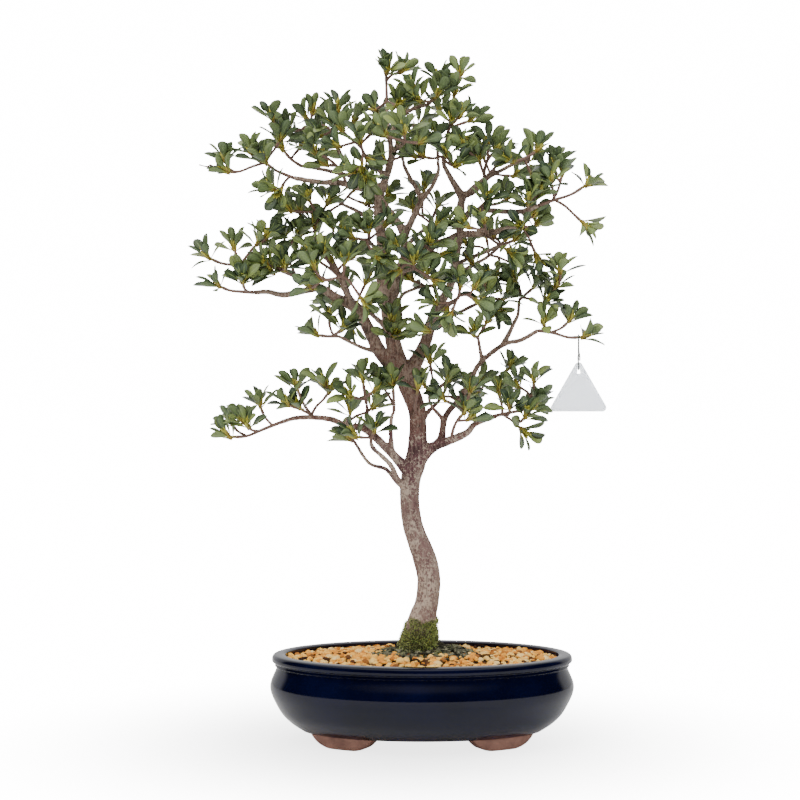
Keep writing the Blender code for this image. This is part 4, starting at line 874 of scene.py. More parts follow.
def add_whorl(skin, twig, tree, dice):
    """The leaves round a bud: wide ones below, smaller and steeper ones above, in a cup of yellow scales."""
    hub, axis = twig.run.points[-2], twig.axis
    side = sideways(axis, vec(0.8, 0.5, 0.1))
    over = np.cross(axis, side)
    turn = dice.uniform(0.0, 6.28)
    shoot_tone = dice.uniform(0.0, 0.42)
    count = dice.randint(7, 10)
    for k in range(count):
        turn += GOLDEN_TURN + dice.uniform(-0.2, 0.2)
        inner = k / (count - 1)
        out = cos(turn) * side + sin(turn) * over
        root = hub + axis * (mix(-2.5, 4.0, inner)) + out * 1.0
        length = mix(dice.uniform(0.84, 1.12), dice.uniform(0.60, 0.95), inner**1.5) * tree.leaf_length / MM
        width = length * dice.uniform(0.40, 0.50)
        pitch = mix(dice.uniform(12.0, 46.0), dice.uniform(52.0, 74.0), inner)
        pitch += 18.0 * max(0.0, -out[2])
        droop = dice.uniform(-0.05, 0.6) * (1.0 - 0.6 * inner)
        cup = dice.uniform(0.22, 0.50)
        tone = min(1.0, shoot_tone * 0.7 + dice.random() ** 1.5 * 0.85)
        lean = unit(axis + dice.uniform(-0.35, 0.35) * np.cross(axis, out))
        out = sideways(lean, out)
        add_leaf(skin, root, out, lean, length, width, pitch, droop, cup, tone)
    for k in range(dice.randint(12, 15)):
        turn += GOLDEN_TURN
        out = cos(turn) * side + sin(turn) * over
        size = dice.uniform(7.5, 13.5)
        add_leaf(skin, hub + axis * dice.uniform(-3.5, 2.0) + out * 1.3, out, axis, size, size * 0.30,
                 dice.uniform(54.0, 80.0), -0.4, 0.5, dice.random(), bud=dice.uniform(0.75, 1.0))


def add_twig(skin, twig, stem_tone):
    """A twig that runs green and swollen up to its bud."""
    points, radii = twig.run.points, twig.run.radii
    route = smooth_route([vec(*p, r) for p, r in zip(points[:-1], radii[:-1])], 4)
    line = [row[:3] for row in route] + [points[-1]]
    widths = [row[3] * TWIG_STOUTER for row in route[:-2]] + [1.45, 1.65, 1.8]
    total = len(line) - 1
    young = [max(0.0, 1.0 - (total - k) / 2.6) for k in range(total + 1)]
    marks = {"young": young, "tone": [stem_tone] * (total + 1), "stem": [1.0] * (total + 1)}
    ring, _ = add_tube(skin, line, widths, 7, vec(0.1, 0.2, 1), last=twig.axis, marks=marks)
    skin.fan(ring, line[-1] + twig.axis * 2.6, young=1.0, tone=stem_tone, stem=1.0)


def add_dead_twig(skin, route):
    """A bare twig that tapers to nothing."""
    line = smooth_route(route, 4)
    count = len(line) - 1
    widths = [mix(1.15, 0.6, k / count) + 0.25 * (k % 4 == 0) for k in range(count + 1)]
    marks = {"tone": [0.3] * (count + 1), "stem": [1.0] * (count + 1)}
    ring, _ = add_tube(skin, line, widths, 7, UP, marks=marks)
    skin.fan(ring, line[-1] + unit(line[-1] - line[-2]) * 0.6, tone=0.3, stem=1.0)


def side_twig(twigs, end, seed):
    """One more twig from the nearest of a shoot's twigs up to a bud."""
    places = [twig.woody_part().leaving_place(end) for twig in twigs]
    place, way, _ = min(places, key=lambda p: np.linalg.norm(end - p[0]))
    step = end - place
    length = np.linalg.norm(step)
    bow = sideways(step / length, unit(way + UP * -0.6)) * length * 0.12
    middle = [mix(place, end, 0.4) + bow, mix(place, end, 0.75) + bow * 0.6]
    return Twig([place, *middle, end], TWIG_RADIUS, seed)


def build_shoots(tree):
    """Every leafy shoot: its twigs, its buds and their leaves."""
    more = {name: buds for (name,), buds in entries(EXTRA_BUDS)}
    dead = {name: route for (name,), route in entries(DEAD_TWIGS)}
    finish = leaf_finish(tree)
    for name, twigs in grow_shoots().items():
        node = f"{name}_shoot"
        skin = Skin()
        grown = [(twig, random.Random(twig.seed * 7 + 3)) for twig in twigs]
        for number, bud in enumerate(more.get(name, ())):
            grown.append((side_twig(twigs, bud, 1000 + number), random.Random(f"{node} {number}")))
        for twig, dice in grown:
            add_twig(skin, twig, dice.random())
            add_whorl(skin, twig, tree, dice)
        if name in dead:
            add_dead_twig(skin, dead[name])
        make_piece(node.replace("_shoot", "_leaves"), skin, [finish], [node])


def leaf_finish(tree):
    """Leathery leaves: dark and glossy above, paler below, yellow at the foot; brown twigs, yellow buds."""
    finish = Finish("azalea_leaf_and_twig", Specular_IOR_Level=0.5)
    tone, share, under = finish.mark("tone"), finish.mark("share"), finish.mark("under")
    cloud = finish.noise(130.0, 3.0)
    green = finish.blend(tone.between(0.15, 0.95), tree.leaf_dark, tree.leaf_light)
    # Cool grey-blue clouds over the leaves: partly their own cool cast, partly painted sheen.
    green = finish.blend(cloud.between(0.35, 0.7) * 0.35, green, tree.leaf_cool_sheen)
    across = finish.mark("rib")
    rib = across.between(0.80, 1.0) * (1.0 - share.between(0.6, 0.95))
    green = finish.blend(rib * 0.7, green, tree.leaf_rib)
    # Painted shade: each leaf darkens towards its edges, for the thin shadows where the leaves overlap.
    green = finish.blend((1.0 - across.between(0.0, 0.35)) * 0.5, green, tree.leaf_dark)
    green = finish.blend(under * 0.62, green, tree.leaf_under)
    green = finish.blend(1.0 - share.between(0.06, 0.42), green, tree.leaf_foot)
    scale = finish.blend(share.between(0.15, 0.9), tree.bud_brown, tree.bud_yellow)
    green = finish.blend(finish.mark("bud"), green, scale)
    streaks = finish.noise(600.0, 3.0, (1.0, 1.0, 0.25))
    bark = finish.blend(streaks, tree.twig_dark, tree.twig_red)
    bark = finish.blend(finish.mark("young") * 0.85, bark, tree.bud_yellow)
    stem = finish.mark("stem")
    finish.colour(finish.blend(stem, green, bark))
    finish.roughness(0.18 + stem * 0.45 + under * 0.3 + cloud * 0.14)
    finish.relief(finish.noise(900.0, 3.0) * 0.6 + rib * 0.8, 0.25, 0.5)
    return finish.material


def oval_point(inset, height, turn):
    across = (RIM_HALF_LENGTH - inset) * cos(turn)
    deep = (RIM_HALF_DEPTH - inset * DEPTH_CLOSING) * sin(turn)
    return vec(POT_CENTRE[0] + across, POT_CENTRE[1] + deep, height)


def oval(inset, height, sides):
    return [oval_point(inset, height, 2 * pi * k / sides) for k in range(sides)]


def add_bowl(skin):
    """The bowl's skin, round its oval, from its foot over the lip and down to its floor."""
    profile = smooth_route(POT_PROFILE, PROFILE_STEPS)
    skin.closed([skin.ring(oval(inset, height, POT_FACETS)) for inset, height in profile])


def add_foot(skin, mirror):
    """One curved foot with rounded lower edges."""
    middle = vec(*POT_CENTRE, 0)
    top = FOOT_HEIGHT + 3.0
    rings = []
    for degrees, sole in smooth_route(FOOT_CURVE, 4):
        sole = max(sole, 0.0)
        edge = min(2.0, (top - sole) * 0.4)
        section = [
            (31.0, top), (50.0, top), (48.6, sole + edge), (47.8, sole + edge * 0.3), (46.4, sole),
            (34.8, sole), (33.2, sole + edge * 0.3), (32.4, sole + edge),
        ]
        ring = []
        for inset, height in section:
            point = oval_point(inset, height, radians(degrees)) - middle
            ring.append(point * vec(*mirror, 1) + middle)
        rings.append(skin.ring(ring if mirror[0] * mirror[1] > 0 else ring[::-1]))
    skin.closed(rings)


def build_pot(pot):
    """The glazed bowl with its drainage holes, and its four feet of bare clay."""
    skin = Skin()
    add_bowl(skin)
    bowl = make_piece("glazed_bowl", skin, [glaze_finish(pot), clay_finish(pot)], ["pot"])
    cutter = Skin()
    for x in (-DRAIN_AT_X, DRAIN_AT_X):
        foot = vec(POT_CENTRE[0] + x, 0, FOOT_HEIGHT - 5.0)
        ring, _ = add_tube(cutter, [foot, foot + UP * 20.0], [DRAIN_RADIUS] * 2, 40, vec(1, 0, 0))
        cutter.faces.append(tuple(ring))
    drains = add_mesh("drains", cutter.points, cutter.faces)
    apply_modifier(bowl, "BOOLEAN", operation="DIFFERENCE", object=drains, solver="EXACT")
    bpy.data.objects.remove(drains)
    for face in bowl.data.polygons:
        level = abs(face.normal.z) > 0.9 and face.center.z < CLAY_BELOW * MM
        face.material_index = 1 if level else 0
    bowl.data.shade_smooth()
    bowl.data.set_sharp_from_angle(angle=radians(40.0))
    feet = Skin()
    for mirror in FOOT_MIRRORS:
        add_foot(feet, mirror)
    piece = make_piece("clay_feet", feet, [clay_finish(pot)], ["pot"])
    piece.data.set_sharp_from_angle(angle=radians(50.0))


def glaze_finish(pot):
    """Deep blue gloss glaze with faint specks and a slightly uneven surface."""
    finish = Finish("navy_glaze", Specular_IOR_Level=0.3)
    cloud = finish.noise(22.0, 4.0)
    ground = finish.blend(cloud.between(0.3, 0.75), pot.glaze_dark, pot.glaze_blue)
    cells = finish.node("ShaderNodeTexVoronoi", {"feature": "F1"}, Vector=finish.place(), Scale=260.0)
    finish.colour(finish.blend((1.0 - cells.between(0.0, 0.16)) * 0.06, ground, (0.03, 0.04, 0.07)))
    finish.roughness(0.09 + cloud * 0.07)
    finish.relief(finish.noise(30.0, 3.0) + finish.noise(420.0, 2.0) * 0.08, 0.5, 0.2)
    return finish.material


def clay_finish(pot):
    finish = Finish("bare_clay", Specular_IOR_Level=0.3)
    grain = finish.noise(700.0, 4.0)
    ground = finish.blend(finish.noise(60.0).between(0.3, 0.7), pot.clay_dark, pot.clay)
    finish.colour(finish.blend(grain.between(0.5, 0.8) * 0.3, ground, (0.45, 0.27, 0.19)))
    finish.roughness(0.62 + grain * 0.2)
    finish.relief(grain, 0.3, 0.6)
    return finish.material


def soil_share(x, y, margin=0.0):
    """How far out on the soil a spot lies, from 0 at its middle to 1 at the margin from its edge."""
    across = (x - POT_CENTRE[0]) / (RIM_HALF_LENGTH - SOIL_INSET - margin)
    deep = (y - POT_CENTRE[1]) / (RIM_HALF_DEPTH - SOIL_INSET * DEPTH_CLOSING - margin)
    return hypot(across, deep)


def soil_level(x, y):
    """Height of the soil's surface, lowest along the pot's wall."""
    out = min(1.0, soil_share(x, y))
    return mix(SOIL_EDGE, SOIL_MOUND_HEIGHT, (1.0 - out) ** 1.2)


# A ball of twenty triangles.
GRAIN_CORNERS = [
    (-1, 0, 1.618), (1, 0, 1.618), (-1, 0, -1.618), (1, 0, -1.618), (0, 1.618, 1), (0, 1.618, -1),
    (0, -1.618, 1), (0, -1.618, -1), (1.618, 1, 0), (-1.618, 1, 0), (1.618, -1, 0), (-1.618, -1, 0),
]
GRAIN_FACES = [
    (0, 1, 4), (0, 4, 9), (9, 4, 5), (4, 8, 5), (4, 1, 8), (8, 1, 10), (8, 10, 3), (5, 8, 3), (5, 3, 2),
    (2, 3, 7), (7, 3, 10), (7, 10, 6), (7, 6, 11), (11, 6, 0), (0, 6, 1), (6, 10, 1), (9, 11, 0),
    (9, 2, 11), (9, 5, 2), (7, 11, 2),
]


def finer(corners, faces):
    """Each triangle of a ball split in four."""
    corners = [unit(vec(*c)) for c in corners]
    middles = {}
    split = []

    def middle(a, b):
        key = (min(a, b), max(a, b))
        if key not in middles:
            middles[key] = len(corners)
            corners.append(unit(corners[a] + corners[b]))
        return middles[key]

    for a, b, c in faces:
        ab, bc, ca = middle(a, b), middle(b, c), middle(c, a)
        split += [(a, ab, ca), (b, bc, ab), (c, ca, bc), (ab, bc, ca)]
    return corners, split


def add_grain(skin, ball, faces, centre, size, tone, dice):
    """One lump of grit: a ball pushed out of shape."""
    first = len(skin.points)
    stretch = vec(dice.uniform(0.75, 1.25), dice.uniform(0.75, 1.25), dice.uniform(0.6, 0.95))
    offset = dice.uniform(0, 100)
    turn = dice.uniform(0, 6.28)
    ahead, aside = cos(turn), sin(turn)
    points = []
    for way in ball:
        bump = 1.0 + 0.5 * noise.noise(Vector(way) * 1.6 + Vector((offset, offset * 0.7, 3.0)))
        x, y, z = way * stretch * size * bump
        points.append(centre + vec(ahead * x - aside * y, aside * x + ahead * y, z))
    # This mark grows towards each grain's underside, where grit_finish paints shade.
    skin.ring(points, tone=tone, dip=[-way[2] for way in ball])
    skin.faces += [tuple(first + i for i in face) for face in faces]


def build_soil(pot):
    """A bed of damp soil and a few layers of loose grit over it."""
    bed = Skin()
    middle = vec(*POT_CENTRE, 0)
    rings = []
    for share in (0.12, 0.25, 0.4, 0.55, 0.7, 0.85, 1.0):
        spots = [mix(middle, point, share) for point in oval(SOIL_INSET + 0.1, 0.0, SOIL_FACETS)]
        rings.append(bed.ring([spot + UP * (soil_level(spot[0], spot[1]) - 3.4) for spot in spots]))
    for inset, height in [(SOIL_INSET + 0.1, 70.0)] + SOIL_SIDE:
        rings.append(bed.ring(oval(inset, height, SOIL_FACETS)))
    bed.closed(rings[::-1])
    make_piece("soil_bed", bed, [soil_finish()], ["soil"])
    ball, faces = finer(GRAIN_CORNERS, GRAIN_FACES)
    dice = random.Random(11)
    for name, drop, count, lightest in GRIT_LAYERS:
        skin = Skin()
        for spot in scattered(count, dice):
            size = mix(1.6, 4.3, dice.random() ** 1.3)
            level = soil_level(*spot) - drop + dice.uniform(-0.7, 0.9)
            tone = dice.random() * lightest
            add_grain(skin, ball, faces, vec(*spot, level), size, tone, dice)
        ball, faces = [unit(vec(*c)) for c in GRAIN_CORNERS], GRAIN_FACES
        make_piece(name, skin, [grit_finish(pot)], ["soil"])


def scattered(count, dice):
    """Spots over the soil, each the farthest from the others of a few tries."""
    cell = 7.0
    taken = {}
    spots = []
    while len(spots) < count:
        best = None
        for _ in range(5):
            x = POT_CENTRE[0] + dice.uniform(-1, 1) * RIM_HALF_LENGTH
            y = dice.uniform(-1, 1) * RIM_HALF_DEPTH
            if soil_share(x, y, 2.2) >= 1.0 or hypot(x - 16.0, y) < 17.5:
                continue
            i, j = int(x // cell), int(y // cell)
            near = 99.0
            for a in (i - 1, i, i + 1):
                for b in (j - 1, j, j + 1):
                    for other in taken.get((a, b), ()):
                        near = min(near, hypot(other[0] - x, other[1] - y))
            if best is None or near > best[0]:
                best = (near, (x, y), (i, j))
        if best:
            spots.append(best[1])
            taken.setdefault(best[2], []).append(best[1])
    return spots


def soil_finish():
    finish = Finish("damp_soil", Roughness=0.95)
    finish.colour(finish.blend(finish.noise(300.0), (0.02, 0.012, 0.006), (0.09, 0.05, 0.022)))
    finish.relief(finish.noise(500.0), 1.0)
    return finish.material


def grit_finish(pot):
    """Baked clay grit, ochre with pale and rusty lumps among it, and painted shade under each grain."""
    finish = Finish("baked_clay_grit", Roughness=0.9, Specular_IOR_Level=0.25)
    # The darkest stops give dark lumps, and also the lower layer's painted shade.
    stops = [
        (0.0, (0.03, 0.013, 0.006)), (0.09, pot.grit_brown_and_shade), (0.2, pot.grit_rust), (0.5, pot.grit),
        (0.8, pot.grit_pale), (1.0, (0.97, 0.70, 0.30)),
    ]
    ground = finish.node("ShaderNodeValToRGB", {"stops": stops}, Fac=finish.mark("tone"))
    pores = finish.noise(900.0, 5.0, roughness=0.7)
    ground = finish.blend((1.0 - pores.between(0.30, 0.48)) * 0.5, ground, pot.grit_brown_and_shade)
    # Painted shade: each grain turns brown towards its underside.
    finish.colour(finish.blend(finish.mark("dip").between(-0.2, 0.5) * 0.9, ground, pot.grit_brown_and_shade))
    finish.relief(pores, 0.9, 1.0)
    return finish.material


def mat_level(x, y, share):
    """Height of the old root mat, heaped up to the right of the trunk."""
    heap = 4.5 * exp(-(((x - 60.0) / 17.0) ** 2) - ((y + 4.0) / 20.0) ** 2)
    uneven = 1.7 * noise.noise(Vector((x * 0.16, y * 0.16, 1.0)))
    return soil_level(x, y) + (3.6 + heap) * (1.0 - share**3) + uneven - 0.9


def mound_spot(turn, reach):
    """A place on the root mat, some way round and some share of the way out to its edge."""
    x = MOUND_CENTRE[0] + cos(turn) * MOUND_HALF_LENGTH * reach
    return x, MOUND_CENTRE[1] + sin(turn) * MOUND_HALF_DEPTH * reach


def build_mound():
    """The old root mat round the trunk's foot: a low dark mound with fine roots and moss over it."""
    skin = Skin()
    rings = []
    for share in (1.0, 0.9, 0.78, 0.64, 0.5, 0.36, 0.24):
        ring = []
        for k in range(MOUND_FACETS):
            turn = 2 * pi * k / MOUND_FACETS
            edge = 1.0 + 0.22 * noise.noise(Vector((cos(turn) * 2.2, sin(turn) * 2.2, 4.0)))
            x = MOUND_CENTRE[0] + cos(turn) * MOUND_HALF_LENGTH * share * edge
            y = MOUND_CENTRE[1] + sin(turn) * MOUND_HALF_DEPTH * share * edge
            ring.append(vec(x, y, mat_level(x, y, share) - 0.7))
        rings.append(skin.ring(ring, share=share))
    skin.walls(rings)
    skin.faces.append(tuple(rings[-1]))
    make_piece("old_root_mat", skin, [mat_finish()])
    fibres = Skin()
    dice = random.Random(23)
    for _ in range(ROOT_FIBRES):
        turn = dice.uniform(0, 6.28)
        reach = dice.uniform(0.3, 0.95)
        heading = turn + dice.uniform(-1.4, 1.4)
        x, y = mound_spot(turn, reach)
        turning = dice.uniform(-0.75, 0.75)
        line = []
        for _ in range(7):
            share = hypot((x - MOUND_CENTRE[0]) / MOUND_HALF_LENGTH, (y - MOUND_CENTRE[1]) / MOUND_HALF_DEPTH)
            line.append(vec(x, y, mat_level(x, y, min(share, 1.0)) + dice.uniform(-0.4, 1.8)))
            heading += turning + dice.uniform(-0.35, 0.35)
            x += cos(heading) * 3.4
            y += sin(heading) * 3.0
        thick = dice.uniform(0.6, 1.6)
        add_tube(fibres, line, [thick * (1.0 - 0.1 * k) for k in range(7)], 6, UP)
    make_piece("old_fine_roots", fibres, [root_finish()])


def mat_finish():
    finish = Finish("old_root_mat", Roughness=0.95, Specular_IOR_Level=0.2)
    moss = finish.noise(90.0, 5.0).between(0.46, 0.62)
    ground = finish.blend(finish.noise(500.0, 4.0), (0.010, 0.008, 0.005), (0.055, 0.042, 0.026))
    finish.colour(finish.blend(moss * 0.65, ground, (0.045, 0.058, 0.012)))
    finish.relief(finish.noise(420.0, 5.0), 1.6)
    return finish.material


def root_finish():
    finish = Finish("old_fine_root", Roughness=0.85, Specular_IOR_Level=0.3)
    patches = finish.noise(160.0, 4.0).between(0.40, 0.68)
    finish.colour(finish.blend(patches, (0.012, 0.012, 0.007), (0.23, 0.22, 0.14)))
    finish.relief(finish.noise(700.0), 0.3)
    return finish.material


def trunk_at(height):
    """The trunk's middle and thickness at a height."""
    for a, b in pairwise(TRUNK):
        if a[2] <= height <= b[2]:
            return mix(a, b, (height - a[2]) / (b[2] - a[2]))
    return TRUNK[-1]


def build_moss(tree):
    """Moss on the trunk's foot, thick at the bottom and thinning out above, and sparse on the mat."""
    skin = Skin()
    dice = random.Random(31)
    while len(skin.points) < 4 * MOSS_ON_TRUNK:
        height = mix(87.0, 127.0, dice.random() ** 1.15)
        turn = dice.uniform(0, 6.28)
        x, y, _, radius = trunk_at(height)
        out = vec(cos(turn), sin(turn), 0)
        spot = vec(x, y, height) + out * (radius - 0.9 + 1.2 * max(0.0, (96.0 - height) / 9.0))
        cover = noise.noise(Vector((spot[0] * 0.11, spot[1] * 0.11, height * 0.11)))
        if cover >= (height - 119.0) / 16.0:
            add_blade(skin, spot, out, dice, 1.0)
    for _ in range(MOSS_ON_MAT):
        turn = dice.uniform(0, 6.28)
        reach = dice.uniform(0.28, 0.9)
        x, y = mound_spot(turn, reach)
        if noise.noise(Vector((x * 0.09, y * 0.09, 7.0))) >= 0.1:
            add_blade(skin, vec(x, y, mat_level(x, y, reach) - 0.3), UP, dice, 0.7)
    make_piece("moss", skin, [moss_finish(tree)], smooth=False)


def add_blade(skin, spot, out, dice, size):
    """One moss blade: a slim three sided point."""
    lean = unit(out + UP * dice.uniform(-0.2, 0.9) + vec(*(dice.uniform(-0.5, 0.5) for _ in range(3))))
    side = sideways(lean, vec(dice.uniform(-1, 1), dice.uniform(-1, 1), 0.3))
    foot = circle(spot, side, lean, dice.uniform(0.28, 0.55) * size, 3)
    ring = skin.ring(foot, tone=dice.random(), tip=0.0)
    skin.fan(ring, spot + lean * dice.uniform(2.2, 5.6) * size, tone=dice.random(), tip=1.0)


def moss_finish(tree):
    finish = Finish("moss", Roughness=0.8, Specular_IOR_Level=0.25)
    ground = finish.blend(finish.mark("tone"), tree.moss_dark, tree.moss)
    patches = finish.noise(170.0, 3.0).between(0.46, 0.60)
    ground = finish.blend(patches * 0.75, ground, tree.moss_dark)
    tips = finish.mark("tip").between(0.2, 1.0) * finish.mark("tone").between(0.2, 0.8)
    finish.colour(finish.blend(tips, ground, tree.moss_tip))
    return finish.material


def point_on_stem(run, x):
    """Where a stem passes a given distance to the right."""
    for a, b in pairwise(run.points):
        if min(a[0], b[0]) <= x <= max(a[0], b[0]):
            return mix(a, b, (x - a[0]) / (b[0] - a[0]))
    raise ValueError("the stem doesn't reach the place where the tag hangs")


def tag_outline(grow):
    """The tag's rounded triangle, grown or shrunk a little."""
    side, foot = TAG_WIDTH / 2 - TAG_CORNER, -TAG_TALL + TAG_CORNER
    radius = TAG_CORNER + grow
    outline = []
    for (x, z), first in zip([(0.0, -TAG_CORNER), (-side, foot), (side, foot)], (30.0, 150.0, 270.0)):
        for k in range(16):
            turn = radians(first + 8.0 * k)
            outline.append((x + radius * cos(turn), z + radius * sin(turn)))
    return outline


def build_tag(tag):
    """The blank tag with softened edges round its outline and its hole, and the cord that holds it."""
    twig_point = point_on_stem(grow_shoots()[TAG_SHOOT][0].run, TAG_AT_X)
    top = twig_point - UP * TAG_HANGS_BELOW_TWIG
    hole = vec(0, -TAG_HOLE_BELOW_TOP)
    skin = Skin()
    half = TAG_THICKNESS / 2
    soft = TAG_SOFT_EDGE
    loops = [(-half, -soft, soft), (-half + soft, 0.0, 0.0), (half - soft, 0.0, 0.0), (half, -soft, soft)]
    outer, inner = [], []
    for depth, grow, widen in loops:
        outer.append(skin.ring([top + vec(x, depth, z) for x, z in tag_outline(grow)]))
        ring = []
        for corner in tag_outline(0.0):
            x, z = hole + unit(vec(*corner) - hole) * (TAG_HOLE_RADIUS + widen)
            ring.append(top + vec(x, depth, z))
        inner.append(skin.ring(ring))
    skin.walls(inner + outer[::-1] + inner[:1])
    plate = make_piece("blank_tag", skin, [tag_finish(tag)], ["hang_tag"])
    plate.data.set_sharp_from_angle(angle=radians(50.0))
    build_cord(tag, twig_point)


def cord_route():
    """The cord's line from the twig's middle, as x, depth and height: over the twig and through the hole."""
    tag_top = -TAG_HANGS_BELOW_TWIG
    hang = tag_top - TAG_HOLE_BELOW_TOP + TAG_HOLE_RADIUS - CORD_DIAMETER / 2 - SEAT_GAP
    over = STEM_RADIUS + CORD_DIAMETER / 2 + SEAT_GAP
    away = 2.5
    near = away * 0.7
    return smooth_route([
        (0.9, -away, tag_top + 1.5), (0.9, -away, tag_top + 6.0), (0.0, -away, tag_top + 12.0),
        (0.0, -away, -1.0), (0.0, -near, over * 0.75), (0.0, 0.0, over + 0.1), (0.0, near, over * 0.75),
        (0.0, away, -1.0), (0.0, away, tag_top + 4.0), (0.0, away, hang + 3.2), (0.0, near, hang + 1.0),
        (0.0, 0.9, hang), (0.0, -0.9, hang), (0.0, -near, hang + 1.0), (0.0, -away, hang + 3.2),
        (-0.9, -away, tag_top + 3.0), (-0.9, -away, tag_top + 6.5),
    ], 4)


def build_cord(tag, twig_point):
    """The cord: over the twig, through the tag's hole, its two ends lying side by side above the tag."""
    line = cord_route()
    thread = bpy.data.curves.new("tag_cord", "CURVE")
    thread.dimensions = "3D"
    thread.bevel_depth = CORD_DIAMETER / 2 * MM
    thread.bevel_resolution = 4
    thread.use_fill_caps = True
    spline = thread.splines.new("POLY")
    spline.points.add(len(line) - 1)
    for point, spot in zip(spline.points, line):
        point.co = (*((twig_point + spot) * MM), 1.0)
    cord = add_object("tag_cord", thread)
    thread.materials.append(cord_finish(tag))
    dress(cord, ["tag_string"])
    tuple((twig_point + line[0]) * MM)


def tag_finish(tag):
    """Pale milky plastic, a little see-through."""
    finish = Finish("milky_plastic", Coat_Weight=0.3, Specular_IOR_Level=0.5, Alpha=0.72)
    cloud = finish.noise(45.0, 3.0)
    finish.colour(finish.blend(cloud.between(0.3, 0.7), tag.tag_pale, tag.tag_lilac))
    finish.roughness(0.22 + finish.noise(900.0) * 0.12)
    finish.relief(finish.noise(120.0, 2.0), 0.2, 0.3)
    return finish.material


def cord_finish(tag):
    """Twisted dark green thread."""
    finish = Finish("dark_green_cord", Roughness=0.8, Sheen_Weight=0.3)
    settings = {"bands_direction": "DIAGONAL"}
    wave = finish.node("ShaderNodeTexWave", settings, Vector=finish.place(), Scale=420.0, Distortion=0.6)
    # Painted shade: the wave's dark bands darken the grooves of the twist.
    finish.colour(finish.blend(wave, tag.cord_groove_shade, tag.cord_green))
    finish.relief(wave, 0.3)
    return finish.material


def screen_finish():
    finish = Finish("black_plastic_mesh", Specular_IOR_Level=0.4)
    grain = finish.noise(800.0, 3.0)
    finish.colour(finish.blend(grain, (0.012, 0.012, 0.013), (0.03, 0.03, 0.032)))
    finish.roughness(0.45 + grain * 0.2)
    finish.relief(grain, 0.15)
    return finish.material


def dress_screens():
    """The plastic mesh over the drainage holes keeps its solids and gets a moulded finish."""
    finish = screen_finish()
    for name in ("drain_screen_left", "drain_screen_right"):
        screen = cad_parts[name]
        screen.data.materials.clear()
        screen.data.materials.append(finish)


def build_stage(stage):
    """Pale floor running into a bright room, soft light, a large lamp to the upper left, and the camera."""
    floor = Finish("pale_floor", Roughness=0.7, Specular_IOR_Level=0.1)
    floor.colour(floor.blend(floor.noise(3.0), stage.floor, [c * 0.99 for c in stage.floor]))
    add_floor("pale_floor", 0.0, floor)
    # A glowing sheet over the floor, seen by the eye alone, so that it lights nothing and shows in no glaze.
    # It glows fully from about half a metre out and faintly up to the pot, where this painted light pales its
    # shadow.
    sheet_glow = Finish("glowing_floor_sheet", Emission_Strength=stage.world_seen, Emission_Color=(1.0, 1.0, 1.0))
    sheet_glow.colour(sheet_glow.blend(sheet_glow.noise(3.0), (0.0, 0.0, 0.0), (0.002, 0.002, 0.002)))
    away = sheet_glow.node("ShaderNodeVectorMath", {"operation": "LENGTH"}, output="Value", Vector=sheet_glow.place())
    sheet_glow.feed("Alpha", away.between(0.08, 0.48) * 0.8 + 0.2)
    far = add_floor("glowing_floor_sheet", 0.15, sheet_glow)
    for sight in ("visible_diffuse", "visible_glossy", "visible_transmission", "visible_shadow"):
        setattr(far, sight, False)
    add_lamp("window_light", (-1.1, -1.3, 2.3), stage.key_power, 1.6, (1.0, 0.985, 0.96))
    add_lamp("fill_light", (1.7, -1.2, 1.2), stage.fill_power, 1.4, (0.95, 0.98, 1.0))
    add_lamp("back_light", (0.4, 1.7, 2.0), stage.back_power, 1.6, (1.0, 1.0, 1.0))
    add_world(stage)
    add_camera()


def add_floor(name, height, finish):
    half = 30.0 / MM
    corners = [vec(x * half, y * half, height) for x, y in ((-1, -1), (1, -1), (1, 1), (-1, 1))]
    floor = add_mesh(name, corners, [(0, 1, 2, 3)])
    floor.data.materials.append(finish.material)
    return floor


def add_lamp(name, place, power, size, tint):
    lamp = bpy.data.lights.new(name, "AREA")
    lamp.energy = power
    lamp.size = size
    lamp.color = tint
    holder = add_object(name, lamp)
    holder.location = place
    holder.rotation_euler = (Vector((0.0, 0.0, 0.35)) - Vector(place)).to_track_quat("-Z", "Y").to_euler()
    holder.visible_glossy = False


def add_world(stage):
    """White where the camera sees it, softer where it lights, and dark in reflections but for the ceiling."""
    world = bpy.data.worlds.new("studio")
    bpy.context.scene.world = world
    world.use_nodes = True
    room = Nodes(world.node_tree)
    room.tree.nodes.clear()
    seen = room.node("ShaderNodeLightPath", output="Is Camera Ray")
    gloss = room.node("ShaderNodeLightPath", output="Is Glossy Ray")
    ceiling = room.along("Z", "Generated").between(0.62, 1.0) * stage.ceiling_gloss + stage.world_gloss
    ceiling = ceiling + room.along("Y", "Generated").between(0.42, 0.56) * stage.back_gloss
    strength = stage.world_light + seen * (stage.world_seen - stage.world_light)
    strength = strength + gloss * (ceiling - stage.world_light)
    light = room.node("ShaderNodeBackground", Color=(1.0, 1.0, 1.0), Strength=strength)
    room.node("ShaderNodeOutputWorld", output=None, Surface=light)


def add_camera():
    data = bpy.data.cameras.new("front_camera")
    data.sensor_width = SENSOR_WIDTH
    data.lens = SENSOR_WIDTH * CAMERA_DISTANCE / PICTURE_WIDTH
    data.clip_end = 90.0
    camera = add_object("front_camera", data)
    camera.location = (0.0, -CAMERA_DISTANCE * MM, CAMERA_HEIGHT * MM)
    camera.rotation_euler = (pi / 2, 0.0, 0.0)
    bpy.context.scene.camera = camera


def colour(name, description, default):
    settings = {"size": 3, "min": 0.0, "max": 1.0, "subtype": "COLOR"}
    return bpy.props.FloatVectorProperty(name=name, description=description, default=default, **settings)


def number(name, description, default, **settings):
    return bpy.props.FloatProperty(name=name, description=description, default=default, **settings)


